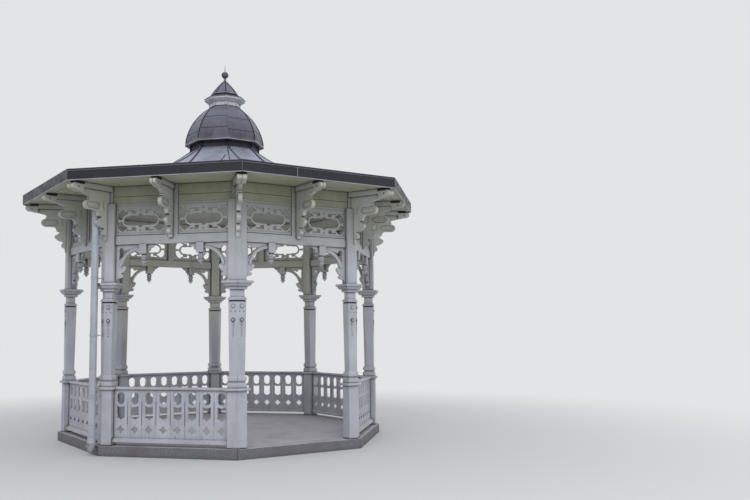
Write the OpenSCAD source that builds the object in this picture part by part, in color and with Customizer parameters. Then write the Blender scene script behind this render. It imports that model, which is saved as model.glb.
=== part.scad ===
// Octagonal timber bandstand on a low stone kerb, millimetres, +Z up.
// The origin is under the middle of the plinth, and the open entrance bay faces -Y.
// Bays run anticlockwise from the entrance, bay 0, and corner k stands before bay k.

/* [Plan and levels] */
// Across the flats of the octagon, outside the posts
across_flats = 5174; // [4900:2:5500]
// Height of the floor above the ground
floor_h = 150; // [120:5:200]
// Height of the boarded band over the posts
band_h = 280; // [240:5:320]
// How far the eaves reach beyond the posts
eaves_reach = 696; // [620:4:760]

/* [Plinth] */
// How far the kerb reaches beyond the posts
kerb_reach = 56; // [45:1:70]
// Width of a kerb stone
kerb_w = 260; // [220:5:320]
// Mortar joint between two kerb stones
kerb_joint = 6; // [3:1:10]

/* [Posts] */
// Width of each of the two outer faces of a post
post_w = 150; // [135:1:165]
// Depth of a post at right angles to its bay
post_d = 162; // [150:1:175]
// Top of the pedestal
pedestal_h = 950; // [920:5:980]
// Top of the moulded base of the shaft
base_h = 1058; // [1050:1:1075]
// Top of the shaft, under the collar
shaft_h = 2144; // [2130:2:2160]
// Top of the collar's slope
collar_h = 2210; // [2204:1:2220]
// Foot of the capital
capital_z = 2321; // [2300:2:2330]
// Top of the capital's slab
capital_h = 2448; // [2444:1:2456]
// How far the capital's slab stands out from the post
capital_reach = 80; // [70:1:82]

/* [Balustrades] */
// Underside of the handrail
rail_z = 829; // [820:1:840]
// Thickness of the handrail
rail_h = 42; // [36:1:46]
// Width of the handrail
rail_w = 96; // [86:1:104]
// How far the rail moulding stands out round each post
wrap_reach = 48; // [40:1:54]
// Number of boards in a bay
board_count = 8; // [7:1:9]
// Thickness of a board
board_t = 24; // [20:1:30]
// Setback of the boards from the outer face of the posts
board_set = 80; // [70:1:90]
// Width of the slot between two boards
slot_w = 9; // [6:1:12]
// Underside of the sill under the boards
sill_z = 51; // [40:1:60]
// Height of the sill at its outer edge
sill_edge = 30; // [24:1:34]
// Height of the sill's slope
sill_slope = 33; // [26:1:38]

/* [Frieze] */
// Setback of the beam and the frieze from the outer face of the posts
frieze_set = 42; // [36:1:48]
// Height of the tie beam
beam_h = 135; // [120:1:145]
// Thickness of the tie beam
beam_t = 90; // [80:1:100]
// Height of the frieze between the tie beam and the top of the posts
frieze_h = 500; // [490:2:520]
// Thickness of the fretwork boards
fret_t = 24; // [20:1:28]
// Width of the strip over the middle of a bay
mullion_w = 206; // [190:2:212]
// Width of the stud behind that strip
stud_w = 120; // [100:2:140]

/* [Arches] */
// Height from the capitals to the underside of the tie beam
arch_h = 592; // [580:2:606]
// Thickness of the arch boards
arch_t = 32; // [28:1:40]
// Distance of a pendant from the middle of its bay
pendant_x = 462; // [450:1:475]
// Width of the pendant's block
pendant_w = 118; // [106:1:124]
// Height of the pendant's block
pendant_h = 150; // [136:1:158]
// How far the arch's band stands out from the board on each side
band_proud = 10; // [6:1:14]

/* [Brackets] */
// Thickness of a bracket board
bracket_t = 60; // [50:1:66]
// How far a bracket's oval head reaches from the post
head_reach = 426; // [410:2:436]
// Height of a rafter end under the soffit
rafter_h = 86; // [80:1:92]
// Width of the rafter end over the middle of a bay
rafter_w = 94; // [86:2:104]
// Width of the rafter end over a corner
hip_rafter_w = 140; // [128:2:150]

/* [Roof] */
// Thickness of the soffit and ceiling boards
soffit_t = 20; // [16:1:24]
// Height of the fascia
fascia_h = 175; // [165:1:190]
// Thickness of the fascia
fascia_t = 26; // [22:1:32]
// How far the fascia hangs below the soffit
fascia_drop = 20; // [14:1:26]
// Thickness of the roof boards with their sheet metal
roof_t = 25; // [20:1:30]
// Corner radius at which the roof starts to sweep up
sweep_r = 1500; // [1450:10:1560]
// Rise of the roof from the eaves to that radius
low_rise = 390; // [370:5:400]
// Corner radius of the neck under the dome
neck_r = 625; // [610:5:640]
// Rise of the sweep up to the neck
sweep_rise = 480; // [465:5:490]
// Height of the neck
neck_h = 100; // [90:5:120]

/* [Dome] */
// Corner radius of the dome at its rim
dome_r = 720; // [705:5:740]
// Height of the dome's full curve
dome_h = 822; // [800:1:840]
// Thickness of the dome's shell
dome_t = 25; // [20:1:30]
// Corner radius of the white drum
drum_r = 285; // [265:1:295]
// Height of the drum from the dome to its cornice
drum_h = 74; // [66:1:82]
// Corner radius of the cornice
cornice_r = 377; // [365:1:385]
// Height of the cornice with its sloped underside
cornice_h = 74; // [66:1:80]
// Height of the small cap
cap_h = 430; // [415:1:440]
// Radius of the ball
ball_r = 62; // [56:1:66]
// Height of the spike above the ball
spike_h = 130; // [110:2:150]

/* [Downpipe] */
// Diameter of the downpipe
pipe_d = 110; // [100:1:116]
// Distance of the pipe's axis from the outer face of the posts
pipe_off = 138; // [138:1:150]
// Distance of the pipe's axis from the upright plane through its corner
pipe_side = 92; // [92:1:110]

/* [Hidden] */

// The octagon
sides = 8;
turn = 360 / sides;
half_turn = turn / 2;
apothem = across_flats / 2;
half_bay = apothem * tan(half_turn);

// Clearance between pieces that are only set against each other
fit = 0.3;
// True circles on turned and sawn pieces
round_fn = 48;

// Levels above the floor
beam_z = capital_h + arch_h;
beam_top = beam_z + beam_h;
post_h = beam_top + frieze_h;

// Levels above the ground
soffit_z = floor_h + post_h + band_h;
eaves = apothem + eaves_reach;
fascia_z = soffit_z - fascia_drop;
roof_z = fascia_z + fascia_h;
eaves_r = eaves / cos(half_turn);
sweep_z = roof_z + low_rise;
neck_z = sweep_z + sweep_rise;
dome_z = neck_z + neck_h;
frieze_face = apothem - frieze_set;

// Widths of the bay between the upper posts and between the pedestals
pedestal_swell = 6;
bay_in = 2 * (half_bay - post_w);
bay_low = 2 * (half_bay - post_w - pedestal_swell);
bay_rails = 2 * (half_bay - post_w - wrap_reach);

// Turns its children, modelled at the entrance, to bay i
module at_bay(i) rotate([0, 0, turn * i]) children();

// Turns its children, modelled towards -Y, to corner k
module at_corner(k) rotate([0, 0, turn * k - half_turn]) children();

// An upright board across a bay: its outline is drawn as [along the bay, height]
module bay_board(face, thick) {
    translate([0, thick - face, floor_h])
        rotate([90, 0, 0])
            linear_extrude(thick) children();
}

// An upright board that points outwards: its outline is drawn as [radius, height]
module radial_board(thick) {
    translate([0, 0, floor_h])
        rotate([90, 0, -90])
            linear_extrude(thick, center = true) children();
}

// A rail along a bay: its section is drawn as [distance inwards from the face, height]
module bay_rail(face, length) {
    translate([0, -face, floor_h])
        rotate([90, 0, 90])
            linear_extrude(length, center = true) children();
}

// One side of an octagonal ring between two apothems, cut on the mitre
module mitred_side(outer, inner, z, h, joint) {
    w_out = outer * tan(half_turn) - joint / 2;
    w_in = inner * tan(half_turn) - joint / 2;
    translate([0, 0, z])
        linear_extrude(h)
            polygon([[-w_out, -outer], [w_out, -outer], [w_in, -inner], [-w_in, -inner]]);
}

// An upright octagonal block with a corner towards -Y
module octagon(to_flats, h) cylinder(r = to_flats / cos(half_turn), h = h, $fn = sides);

// An octagonal solid of revolution: its outline is drawn as [corner radius, height]
module octagon_turned() rotate([0, 0, half_turn]) rotate_extrude($fn = sides) children();

// Points of an arc about [cx, cy]
function arc(cx, cy, r, a0, a1, steps = 6) =
    [for (i = [0:steps]) let (a = a0 + (a1 - a0) * i / steps) [cx + r * cos(a), cy + r * sin(a)]];

// Points of a quadratic curve from p0 to p2 that leaves and arrives towards p1
function curve(p0, p1, p2, steps = 6) =
    [for (i = [0:steps]) let (t = i / steps) (1 - t) * (1 - t) * p0 + 2 * t * (1 - t) * p1 + t * t * p2];

// A solid through a stack of rings with equal numbers of points, each anticlockwise from above
module stacked(rings) {
    n = len(rings[0]);
    top = (len(rings) - 1) * n;
    polyhedron(
        points = [for (ring = rings) each ring],
        faces = [
            [for (j = [0:n - 1]) j],
            [for (j = [0:n - 1]) top + n - 1 - j],
            for (i = [0:len(rings) - 2], j = [0:n - 1])
                [i * n + j, (i + 1) * n + j, (i + 1) * n + (j + 1) % n, i * n + (j + 1) % n]
        ]
    );
}

// Plinth: a kerb of eight stones
module plinth() {
    color("gray")
        for (i = [0:sides - 1])
            at_bay(i)
                mitred_side(apothem + kerb_reach, apothem + kerb_reach - kerb_w, 0, floor_h, kerb_joint);
}

// Floor: the slab within the kerb
module floor_slab() {
    color("darkgray")
        rotate([0, 0, half_turn])
            cylinder(r = (apothem + kerb_reach - kerb_w - fit) / cos(half_turn), h = floor_h, $fn = sides);
}

// Plan of a post, moved outwards all round by proud, with its outer arris towards -Y
function post_ring(proud, z) =
    let (
        w = post_w + proud * (1 + tan(half_turn)),
        d = post_d + 2 * proud,
        arris = [0, -(apothem + proud) / cos(half_turn)],
        side = [w * cos(half_turn), w * sin(half_turn)],
        back = side + [-d * sin(half_turn), d * cos(half_turn)]
    )
    [for (p = [arris, arris + side, arris + back,
               arris + [-back[0], back[1]], arris + [-side[0], side[1]]]) [p[0], p[1], z]];

// The post's moulded outline from its foot up, as [height above the floor, how far it stands out]
groove = -12;
shaft_foot = -17;
shaft_head = -4;
neck_in = -22;
post_profile = [
    [0, pedestal_swell],
    [rail_z, pedestal_swell],
    for (p = arc(0, rail_z + rail_h / 2, rail_h / 2, -90, 90, 6)) [p[1], wrap_reach - rail_h / 2 + p[0]],
    [rail_z + rail_h, pedestal_swell],
    [pedestal_h - 16, pedestal_swell],
    [pedestal_h, pedestal_swell - 12],
    [pedestal_h, groove],
    [pedestal_h + 29, groove],
    [pedestal_h + 29, pedestal_swell - 3],
    [base_h - 36, pedestal_swell - 3],
    [base_h - 12, shaft_foot + 8],
    [base_h, shaft_foot],
    [shaft_h, shaft_head],
    [shaft_h, groove],
    [shaft_h + 18, groove],
    [shaft_h + 18, 5],
    [shaft_h + 32, 5],
    for (p = curve([shaft_h + 32, 2], [collar_h - 4, 0], [collar_h, neck_in], 4)) p,
    [capital_z, neck_in],
    [capital_z, 8],
    [capital_z + 38, 8],
    for (p = arc(0, 1, 1, -90, 0, 4)) [capital_z + 40 + 47 * p[1], 12 + 46 * p[0]],
    [capital_h - 36, capital_reach - 4],
    [capital_h - 4, capital_reach],
    [capital_h, capital_reach - 4],
    [capital_h, 0],
    [post_h, 0]
];

// Post k: pedestal, tapered shaft, collar, capital and upper post
module post(k) {
    color("whitesmoke")
        at_corner(k)
            translate([0, 0, floor_h])
                stacked([for (level = post_profile) post_ring(level[1], level[0])]);
}

// The three holes of a board, about its middle line
hole_r = 57;
module round_piercing() {
    translate([0, 725]) circle(r = hole_r, $fn = round_fn);
    translate([0, 677]) circle(r = hole_r - 3, $fn = round_fn);
}

module shield_piercing() {
    difference() {
        polygon([[-hole_r, 584], [-hole_r, 411], each arc(-hole_r, 382, 29, 90, 45, 3), [0, 380],
                 each arc(hole_r, 382, 29, 135, 90, 3), [hole_r, 411], [hole_r, 584]]);
        translate([0, 677]) circle(r = hole_r + 50, $fn = round_fn);
    }
}

module diamond_piercing() {
    translate([0, 237]) {
        circle(r = hole_r - 14, $fn = round_fn);
        difference() {
            rotate(45) square(82, center = true);
            for (a = [45:90:315])
                rotate(a) translate([hole_r + 40, 0]) circle(r = 62, $fn = round_fn);
        }
    }
}

// Outline of a bay's boards with their holes and the slots between them, standing on the sill
boards_foot = sill_z + sill_edge + sill_slope + fit;

module boards_outline() {
    pitch = bay_low / board_count;
    difference() {
        translate([-bay_low / 2 + fit, boards_foot])
            square([bay_low - 2 * fit, rail_z - fit - boards_foot]);
        for (i = [0:board_count - 1])
            translate([(i + 0.5) * pitch - bay_low / 2, 0]) {
                round_piercing();
                shield_piercing();
                diamond_piercing();
            }
        for (i = [1:board_count - 1])
            translate([i * pitch - bay_low / 2 - slot_w / 2, 316]) square([slot_w, 340]);
    }
}

// Section of the handrail, measured inwards from the outer face of the posts
module handrail_section() {
    middle = board_set + board_t / 2;
    nose = rail_h / 2;
    translate([middle - rail_w / 2 + nose, rail_z]) square([rail_w - 2 * nose, rail_h]);
    for (s = [-1, 1])
        translate([middle + s * (rail_w / 2 - nose), rail_z + nose]) circle(r = nose, $fn = 24);
}

// Section of the sill, sloped to shed water
module sill_section() {
    front = board_set - 58;
    back = board_set + board_t + 20;
    edge = sill_z + sill_edge;
    top = edge + sill_slope;
    polygon([[front, sill_z], [front, edge], [board_set, top], [board_set + board_t, top],
             [back, edge], [back, sill_z]]);
}

// Balustrade of bay i: handrail, pierced boards and sill
module balustrade(i) {
    color("whitesmoke")
        at_bay(i) {
            bay_board(apothem - board_set, board_t) boards_outline();
            bay_rail(apothem, bay_rails - 2 * fit) handrail_section();
            bay_rail(apothem, bay_low - 2 * fit) sill_section();
        }
}

// Tie beams between the posts
module tie_beams() {
    color("whitesmoke")
        for (i = [0:sides - 1])
            at_bay(i)
                bay_board(frieze_face, beam_t)
                    translate([-bay_in / 2 + fit, beam_z]) square([bay_in - 2 * fit, beam_h]);
}

// Fretwork: half of a bay's panel about its own middle, with the saw cuts
fret_mid = (bay_in / 2 + mullion_w / 2) / 2;
fret_z = beam_top + frieze_h / 2 - 14;
end_x = 173;
end_r = 72;
rib_w = 35;
dot_r = 12;

module cartouche() {
    square([2 * end_x, 2 * end_r - 8], center = true);
    square([2 * end_x - 100, 2 * end_r + 12], center = true);
    for (s = [-1, 1]) {
        translate([s * end_x, 0]) circle(r = end_r, $fn = round_fn);
        translate([0, s * 74]) circle(r = 34, $fn = round_fn);
    }
}

module corner_cut() {
    difference() {
        polygon([[304, 26], each arc(250, 40, 132, 6, 68, 6), [292, 166], [196, 98]]);
        translate([end_x, 0]) circle(r = end_r + rib_w, $fn = round_fn);
    }
}

module key_cut() {
    translate([80, 146]) square([140, 14]);
    translate([82, 112]) square([50, 40]);
}

module fret_cuts() {
    cartouche();
    for (sx = [0, 1], sz = [0, 1])
        mirror([sx, 0]) mirror([0, sz]) {
            corner_cut();
            key_cut();
            translate([364, 173]) circle(r = dot_r, $fn = round_fn);
        }
    for (s = [-1, 1]) {
        translate([0, s * 160]) circle(r = dot_r, $fn = round_fn);
        translate([s * 384, 0]) circle(r = dot_r, $fn = round_fn);
    }
}

// Fretwork of bay i: two pierced boards with the strip and stud between them
module fretwork(i) {
    clear_h = post_h - beam_top - 2 * fit;
    color("whitesmoke")
        at_bay(i) {
            bay_board(frieze_face - 20, fret_t)
                difference() {
                    translate([-bay_in / 2 + fit, beam_top + fit]) square([bay_in - 2 * fit, clear_h]);
                    for (s = [-1, 1]) translate([s * fret_mid, fret_z]) fret_cuts();
                }
            bay_board(frieze_face, 20)
                translate([-mullion_w / 2, beam_top + fit]) square([mullion_w, clear_h]);
            bay_board(frieze_face - 20 - fret_t, 46)
                translate([-stud_w / 2, beam_top + fit]) square([stud_w, clear_h]);
        }
}

// Arch board, drawn 400 wide and 592 high as [distance from the post, height above the capital]
drawn_arch = [400, 592];
arch_centre = [400, 212];
arch_r = 332;
arch_band = 42;

// Fits what is drawn on that board between a post and its pendant, on the +X side of a bay
module fitted_arch() {
    post_x = bay_in / 2 - fit;
    pendant_edge = pendant_x + pendant_w / 2 + fit;
    translate([post_x, capital_h + fit])
        scale([-(post_x - pendant_edge) / drawn_arch[0], (arch_h - 2 * fit) / drawn_arch[1]])
            children();
}

// Round hole with two pointed tails that follow the arch
module trefoil_cut() {
    difference() {
        union() {
            translate([93, 500]) circle(r = 41, $fn = round_fn);
            polygon([[236, 520], [150, 496], [93, 500], [62, 470], [56, 420], [60, 346], [150, 440]]);
        }
        translate(arch_centre) circle(r = arch_r + 12, $fn = 96);
    }
}

// Curled leaves under the arch, with their tail on the capital
leaves = [
    [90, 220],
    each arc(136, 228, 35, 185, -55, 9),
    each curve([156, 199], [140, 160], [97, 147], 4),
    each arc(106, 111, 25, 108, -70, 7),
    each curve([114, 87], [95, 72], [54, 74], 4),
    each curve([54, 74], [16, 62], [4, 0], 5)
];

module arch_outline() {
    inner_r = arch_r - arch_band + 3;
    difference() {
        polygon([[0, 0], [0, drawn_arch[1]], drawn_arch,
                 each arc(arch_centre[0], arch_centre[1], inner_r, 90, 172, 12), each leaves]);
        trefoil_cut();
    }
}

module arch_band_outline() {
    intersection() {
        translate(arch_centre)
            difference() {
                circle(r = arch_r, $fn = 96);
                circle(r = arch_r - arch_band, $fn = 96);
            }
        translate([0, arch_centre[1] + 44]) square(drawn_arch[0]);
    }
}

// Arches: sixteen boards, each with its raised band
module arches() {
    face = frieze_face - (beam_t - arch_t) / 2;
    color("whitesmoke")
        for (i = [0:sides - 1], s = [0, 1])
            at_bay(i)
                mirror([s, 0, 0]) {
                    bay_board(face, arch_t) fitted_arch() arch_outline();
                    bay_board(face + band_proud, arch_t + 2 * band_proud) fitted_arch() arch_band_outline();
                }
}

// Turned drop of a pendant, drawn for a block 118 wide as [radius, height below the block]
drawn_block = 118;
drop_line = [
    [0, 1], [34, 1], [34, -16], [46, -21],
    each arc(42, -42, 11, 60, -60, 4),
    [40, -66],
    each arc(40, -80, 8, 70, -70, 4),
    [34, -98], [34, -106],
    each arc(40, -121, 10, 70, -40, 4),
    [20, -160], [4, -182], [0, -182]
];

// Stepped wing of a pendant, drawn beside that block as [distance from it, height below the beam]
wing_line = [
    [-1, 0], [146, 0], [114, -28], [100, -34], [96, -52], [60, -58], [52, -76], [52, -98], [14, -112],
    [-1, -142]
];

// Pendants: a block under the beam, a turned drop below it and a stepped wing beside it
module pendant() {
    face = frieze_face + (pendant_w - beam_t) / 2;
    block_z = beam_z - pendant_h;
    grown = pendant_w / drawn_block;
    translate([pendant_x, 0, 0])
        bay_board(face, pendant_w)
            translate([-pendant_w / 2, block_z]) square([pendant_w, pendant_h - fit]);
    translate([pendant_x, pendant_w / 2 - face, floor_h + block_z])
        rotate_extrude($fn = round_fn) scale(grown) polygon(drop_line);
    bay_board(frieze_face - (beam_t - arch_t) / 2, arch_t)
        translate([pendant_x - pendant_w / 2, beam_z - fit])
            scale([-grown, grown]) polygon(wing_line);
}

module pendants() {
    color("whitesmoke")
        for (i = [0:sides - 1], s = [0, 1])
            at_bay(i) mirror([s, 0, 0]) pendant();
}

// Bracket board, drawn 426 out to its oval head and 694 up from the beam to its rafter end
drawn_bracket = [426, 694];
oval_mid = [358, 452];
oval_r = 68;
arm_end = 476;

// Fits what is drawn on that board, as [distance from the wall, height above the beam], to the posts
module fitted_bracket(datum) {
    height = frieze_h + band_h - rafter_h - fit;
    translate([datum, beam_top])
        scale([head_reach / drawn_bracket[0], height / drawn_bracket[1]])
            children();
}

// Outline from the foot up: a bead, a curled leaf, the oval head and the cove under the rafter end
function bracket_line(foot) = [
    [-60, foot], [4, foot],
    each curve([4, foot], [8, (foot - 20) / 2], [24, 4], 3),
    each arc(34, 46, 42, -80, 55, 6),
    [46, 116],
    each curve([46, 116], [112, 120], [150, 148], 4),
    each arc(158, 202, 34, -55, 75, 5),
    each curve([166, 236], [126, 252], [106, 288], 4),
    [158, 300],
    each curve([158, 300], [166, 362], [212, 378], 5),
    [oval_mid[0] - 60, oval_mid[1] - oval_r],
    each arc(oval_mid[0], oval_mid[1], oval_r, -90, 90, 12),
    each arc(336, 541, 18, -75, 90, 5),
    each curve([336, 562], [352, 602], [424, 608], 5),
    [arm_end - 8, 622], [arm_end, 634], [arm_end, drawn_bracket[1]], [-60, drawn_bracket[1]]
];

// Racetrack that follows the oval head, r around its middle line
function racetrack(r) = [each arc(334, 455, r, -90, 90, 8), each arc(188, 455, r, 90, 270, 8)];

// Carved lines of a bracket: a groove round the oval, its sunk middle and a hook beside the post
module bracket_carving() {
    difference() {
        polygon(racetrack(54));
        polygon(racetrack(45));
    }
    polygon(racetrack(30));
    polygon([[62, 536], each arc(50, 424, 12, 0, -150, 8), each arc(50, 424, 20, -150, 0, 8), [70, 536]]);
}

// A whole bracket at a distance from the axis, carved on both sides
carving_depth = 5;
module bracket_board(datum, foot) {
    difference() {
        radial_board(bracket_t) fitted_bracket(datum) polygon(bracket_line(foot));
        for (s = [-1, 1])
            translate([s * bracket_t / 2, 0, 0])
                radial_board(2 * carving_depth) fitted_bracket(datum) bracket_carving();
    }
}

module corner_bracket() {
    difference() {
        bracket_board(apothem / cos(half_turn), -78);
        translate([0, 0, floor_h])
            linear_extrude(post_h)
                polygon([for (p = post_ring(fit, 0)) [p[0], p[1]]]);
        translate([0, 0, floor_h + post_h - 1])
            octagon(frieze_face + fit, band_h + 10);
    }
}

module corner_brackets() {
    color("whitesmoke")
        for (k = [0:sides - 1])
            at_corner(k) corner_bracket();
}

// Over a bay the same board stands on the strip, a little further out
side_datum = 43;
module side_bracket() {
    difference() {
        bracket_board(frieze_face + side_datum, -48);
        translate([-mullion_w, -frieze_face - fit, floor_h]) cube([2 * mullion_w, 2 * mullion_w, soffit_z]);
    }
}

module side_brackets() {
    color("whitesmoke")
        for (i = [0:sides - 1])
            at_bay(i) side_bracket();
}

// Scroll at the end of a rafter, from its throat at distance 0, as [distance, height below the soffit]
scroll_line = [
    [-6, -60], [-6, -150], [76, -138],
    each arc(168, -80, 42, -110, 75, 8),
    [128, -37], [122, 0], [-6, 0]
];
scroll_eye = [102, -87];

// Rafter end: a bar under the soffit with a scroll that hangs out beyond the bracket's arm
module rafter_end(from, throat, width) {
    top = post_h + band_h - fit;
    groove = 6;
    difference() {
        union() {
            radial_board(width)
                translate([from, top - rafter_h]) square([throat - from + 100, rafter_h]);
            for (s = [-1, 1])
                translate([s * (width + groove) / 4, 0, 0])
                    radial_board((width - groove) / 2)
                        translate([throat, top]) polygon(scroll_line);
        }
        for (s = [-1, 1])
            translate([s * width / 2, 0, 0])
                radial_board(16)
                    translate([throat, top] + scroll_eye) circle(r = 17, $fn = 24);
    }
}

module rafter_ends() {
    wall_r = (frieze_face + fit) / cos(half_turn);
    arm = arm_end * head_reach / drawn_bracket[0] + 8;
    color("whitesmoke")
        for (k = [0:sides - 1]) {
            at_corner(k)
                difference() {
                    rafter_end(wall_r - 60, apothem / cos(half_turn) + arm, hip_rafter_w);
                    translate([0, 0, floor_h + post_h])
                        octagon(frieze_face + fit, band_h + 10);
                }
            at_bay(k)
                rafter_end(frieze_face + fit, frieze_face + side_datum + arm, rafter_w);
        }
}

// Boarded band on top of the posts, which carries the roof
module eaves_band() {
    color("whitesmoke")
        for (i = [0:sides - 1])
            at_bay(i)
                mitred_side(frieze_face, frieze_face - 100, floor_h + post_h + fit, band_h - fit, fit);
}

// Soffit boards from the band out to the fascia
module soffit() {
    color("beige")
        for (i = [0:sides - 1])
            at_bay(i)
                mitred_side(eaves - fascia_t - fit, frieze_face - 50, soffit_z, soffit_t, fit);
}

// Ceiling inside the band
module ceiling() {
    color("beige")
        translate([0, 0, soffit_z])
            rotate([0, 0, half_turn])
                cylinder(r = (frieze_face - 50 - fit) / cos(half_turn), h = soffit_t, $fn = sides);
}

module fascia() {
    color("darkslategray")
        for (i = [0:sides - 1])
            at_bay(i)
                mitred_side(eaves, eaves - fascia_t, fascia_z, fascia_h - roof_t, fit);
}

// Roof: the low slopes
module roof() {
    color("dimgray")
        octagon_turned()
            polygon([[eaves_r, roof_z - roof_t], [eaves_r, roof_z], [sweep_r, sweep_z],
                     [sweep_r, sweep_z - roof_t]]);
}

// Points of the sweep's outer line, from its foot to the neck
sweep_bend = 267;
sweep_line = curve([sweep_r, sweep_z],
    [sweep_r - sweep_bend, sweep_z + sweep_bend * low_rise / (eaves_r - sweep_r)], [neck_r, neck_z], 7);

module roof_sweep() {
    color("dimgray")
        octagon_turned()
            polygon([each sweep_line, [neck_r - 30, neck_z],
                     for (i = [len(sweep_line) - 2:-1:1]) sweep_line[i] - [10, roof_t],
                     sweep_line[0] - [0, roof_t]]);
}

module roof_neck() {
    color("dimgray")
        octagon_turned()
            polygon([[neck_r - 60, neck_z + fit], [neck_r, neck_z + fit], [neck_r, dome_z - fit],
                     [neck_r - 60, dome_z - fit]]);
}

// Dome: fuller than a cone and leaner than a ball
dome_power = 2 / 1.8;
function dome_point(a, inset) =
    [(dome_r - inset) * pow(cos(a), dome_power), (dome_h - inset) * pow(sin(a), dome_power)];
dome_end = 65.5;

module dome() {
    outer = [for (i = [0:12]) dome_point(dome_end * i / 12, 0)];
    inner = [for (i = [12:-1:0]) dome_point(dome_end * i / 12, dome_t)];
    color("dimgray")
        octagon_turned()
            translate([0, dome_z])
                polygon([[neck_r - 60, 0], [dome_r + 6, 0], [dome_r + 6, 22],
                         each [for (p = outer) if (p[1] > 22) p], [outer[12][0] - 60, outer[12][1]],
                         each [for (p = inner) if (p[1] > 20) p], [neck_r - 60, 20]]);
}

dome_top = dome_z + dome_point(dome_end, 0)[1];

module lantern_drum() {
    color("whitesmoke")
        translate([0, 0, dome_top + fit])
            rotate([0, 0, half_turn]) cylinder(r = drum_r, h = drum_h, $fn = sides);
}

cornice_z = dome_top + 2 * fit + drum_h;
cornice_edge = 32;

module lantern_cornice() {
    color("whitesmoke")
        octagon_turned()
            translate([0, cornice_z])
                polygon([[0, 0], [drum_r + 6, 0], [cornice_r - 8, cornice_h - cornice_edge],
                         [cornice_r, cornice_h - cornice_edge], [cornice_r, cornice_h], [0, cornice_h]]);
}

cap_z = cornice_z + cornice_h + fit;

// Cap: a thin skirt, a drip bead over it and a steep cone that swells towards its foot
bead_r = 256;
bead_z = 84;
cone_z = 108;

module lantern_cap() {
    color("dimgray")
        octagon_turned()
            translate([0, cap_z])
                polygon([[0, 0], [cornice_r + 8, 0], [cornice_r + 8, 10],
                         each curve([cornice_r, 14], [300, 44], [bead_r - 12, bead_z], 4),
                         [bead_r, bead_z + 2], [bead_r, cone_z], [bead_r - 12, cone_z + 4],
                         each curve([bead_r - 14, cone_z + 6], [170, 225], [34, cap_h - 70], 7),
                         [23, cap_h - 64], [23, cap_h], [0, cap_h]]);
}

module finial() {
    ball_z = cap_z + cap_h + fit + ball_r - 4;
    color("dimgray")
        rotate_extrude($fn = round_fn)
            polygon([[0, cap_z + cap_h + fit], each arc(0, ball_z, ball_r, -68, 84, 16),
                     [7, ball_z + ball_r], [2, ball_z + ball_r + spike_h], [0, ball_z + ball_r + spike_h]]);
}

// Downpipe before corner 7, on the side of bay 6, with its collars, clips and shoe
pipe_wall = 4;
collar_levels = [712, 1634, 2504];
shoe_r = 110;
shoe_turn = 62;
shoe_z = 196;
shoe_top = 286;

// How far the post's outer face stands out at a level above the floor
function post_proud(z) =
    z < rail_z ? pedestal_swell :
    z > capital_h ? 0 :
    shaft_foot + (shaft_head - shaft_foot) * (z - base_h) / (shaft_h - base_h);

// Ring of the shoe, square to its bend after a turn of a, or straight above the bend where rise > 0
function shoe_ring(r, a, rise) =
    [for (j = [0:23]) let (b = 15 * j, u = r * sin(b))
        [r * cos(b), -shoe_r + (shoe_r + u) * cos(a), shoe_z + rise - (shoe_r + u) * sin(a)]];

// The shoe's outer rings from its outlet up, with a rib at every second one, then its bore down again
shoe_steps = 12;
rib_half = 0.22;
shoe_rings = [
    for (i = [shoe_steps:-1:0], edge = [1, -1])
        let (a = shoe_turn * (i + rib_half * edge) / shoe_steps)
        if (a >= 0) shoe_ring(pipe_d / 2 + (i % 2 == 0 ? 11 : 5), a, 0),
    shoe_ring(pipe_d / 2 + 5, 0, 12),
    shoe_ring(pipe_d / 2 + 5, 0, shoe_top - shoe_z),
    shoe_ring(pipe_d / 2 + fit, 0, shoe_top - shoe_z),
    for (i = [0:shoe_steps])
        let (a = shoe_turn * (i == shoe_steps ? i + rib_half : i) / shoe_steps)
        shoe_ring(pipe_d / 2 + fit, a, 0)
];

module shoe() {
    n = 24;
    m = len(shoe_rings);
    polyhedron(
        points = [for (ring = shoe_rings) each ring],
        faces = [
            for (i = [0:m - 1], j = [0:n - 1])
                [i * n + j, ((i + 1) % m) * n + j, ((i + 1) % m) * n + (j + 1) % n, i * n + (j + 1) % n]
        ]
    );
}

module downpipe() {
    r = pipe_d / 2;
    along = (pipe_side - pipe_off * sin(half_turn)) / cos(half_turn);
    top = soffit_z - fit;
    color("gainsboro")
        at_bay(6)
            translate([half_bay - along, -apothem - pipe_off, 0]) {
                difference() {
                    union() {
                        translate([0, 0, shoe_z]) cylinder(r = r, h = top - shoe_z, $fn = round_fn);
                        for (z = collar_levels)
                            translate([0, 0, floor_h + z]) {
                                cylinder(r = r + 5, h = 34, $fn = round_fn);
                                translate([0, r, 17])
                                    rotate([-90, 0, 0])
                                        cylinder(r = 7, h = pipe_off - r - post_proud(z) - fit, $fn = 24);
                            }
                    }
                    translate([0, 0, shoe_z - 1])
                        cylinder(r = r - pipe_wall, h = top - shoe_z + 2, $fn = round_fn);
                }
                shoe();
            }
}

plinth();
floor_slab();  // floor
post(0);  // post_1
post(1);  // post_2
post(2);  // post_3
post(3);  // post_4
post(4);  // post_5
post(5);  // post_6
post(6);  // post_7
post(7);  // post_8
balustrade(1);  // balustrade_1
balustrade(2);  // balustrade_2
balustrade(3);  // balustrade_3
balustrade(4);  // balustrade_4
balustrade(5);  // balustrade_5
balustrade(6);  // balustrade_6
balustrade(7);  // balustrade_7
fretwork(0);  // fretwork_1
fretwork(1);  // fretwork_2
fretwork(2);  // fretwork_3
fretwork(3);  // fretwork_4
fretwork(4);  // fretwork_5
fretwork(5);  // fretwork_6
fretwork(6);  // fretwork_7
fretwork(7);  // fretwork_8
tie_beams();
arches();
pendants();
corner_brackets();
side_brackets();
rafter_ends();
eaves_band();
soffit();
ceiling();
fascia();
roof();
roof_sweep();
roof_neck();
dome();
lantern_drum();
lantern_cornice();
lantern_cap();
finial();
downpipe();
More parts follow.
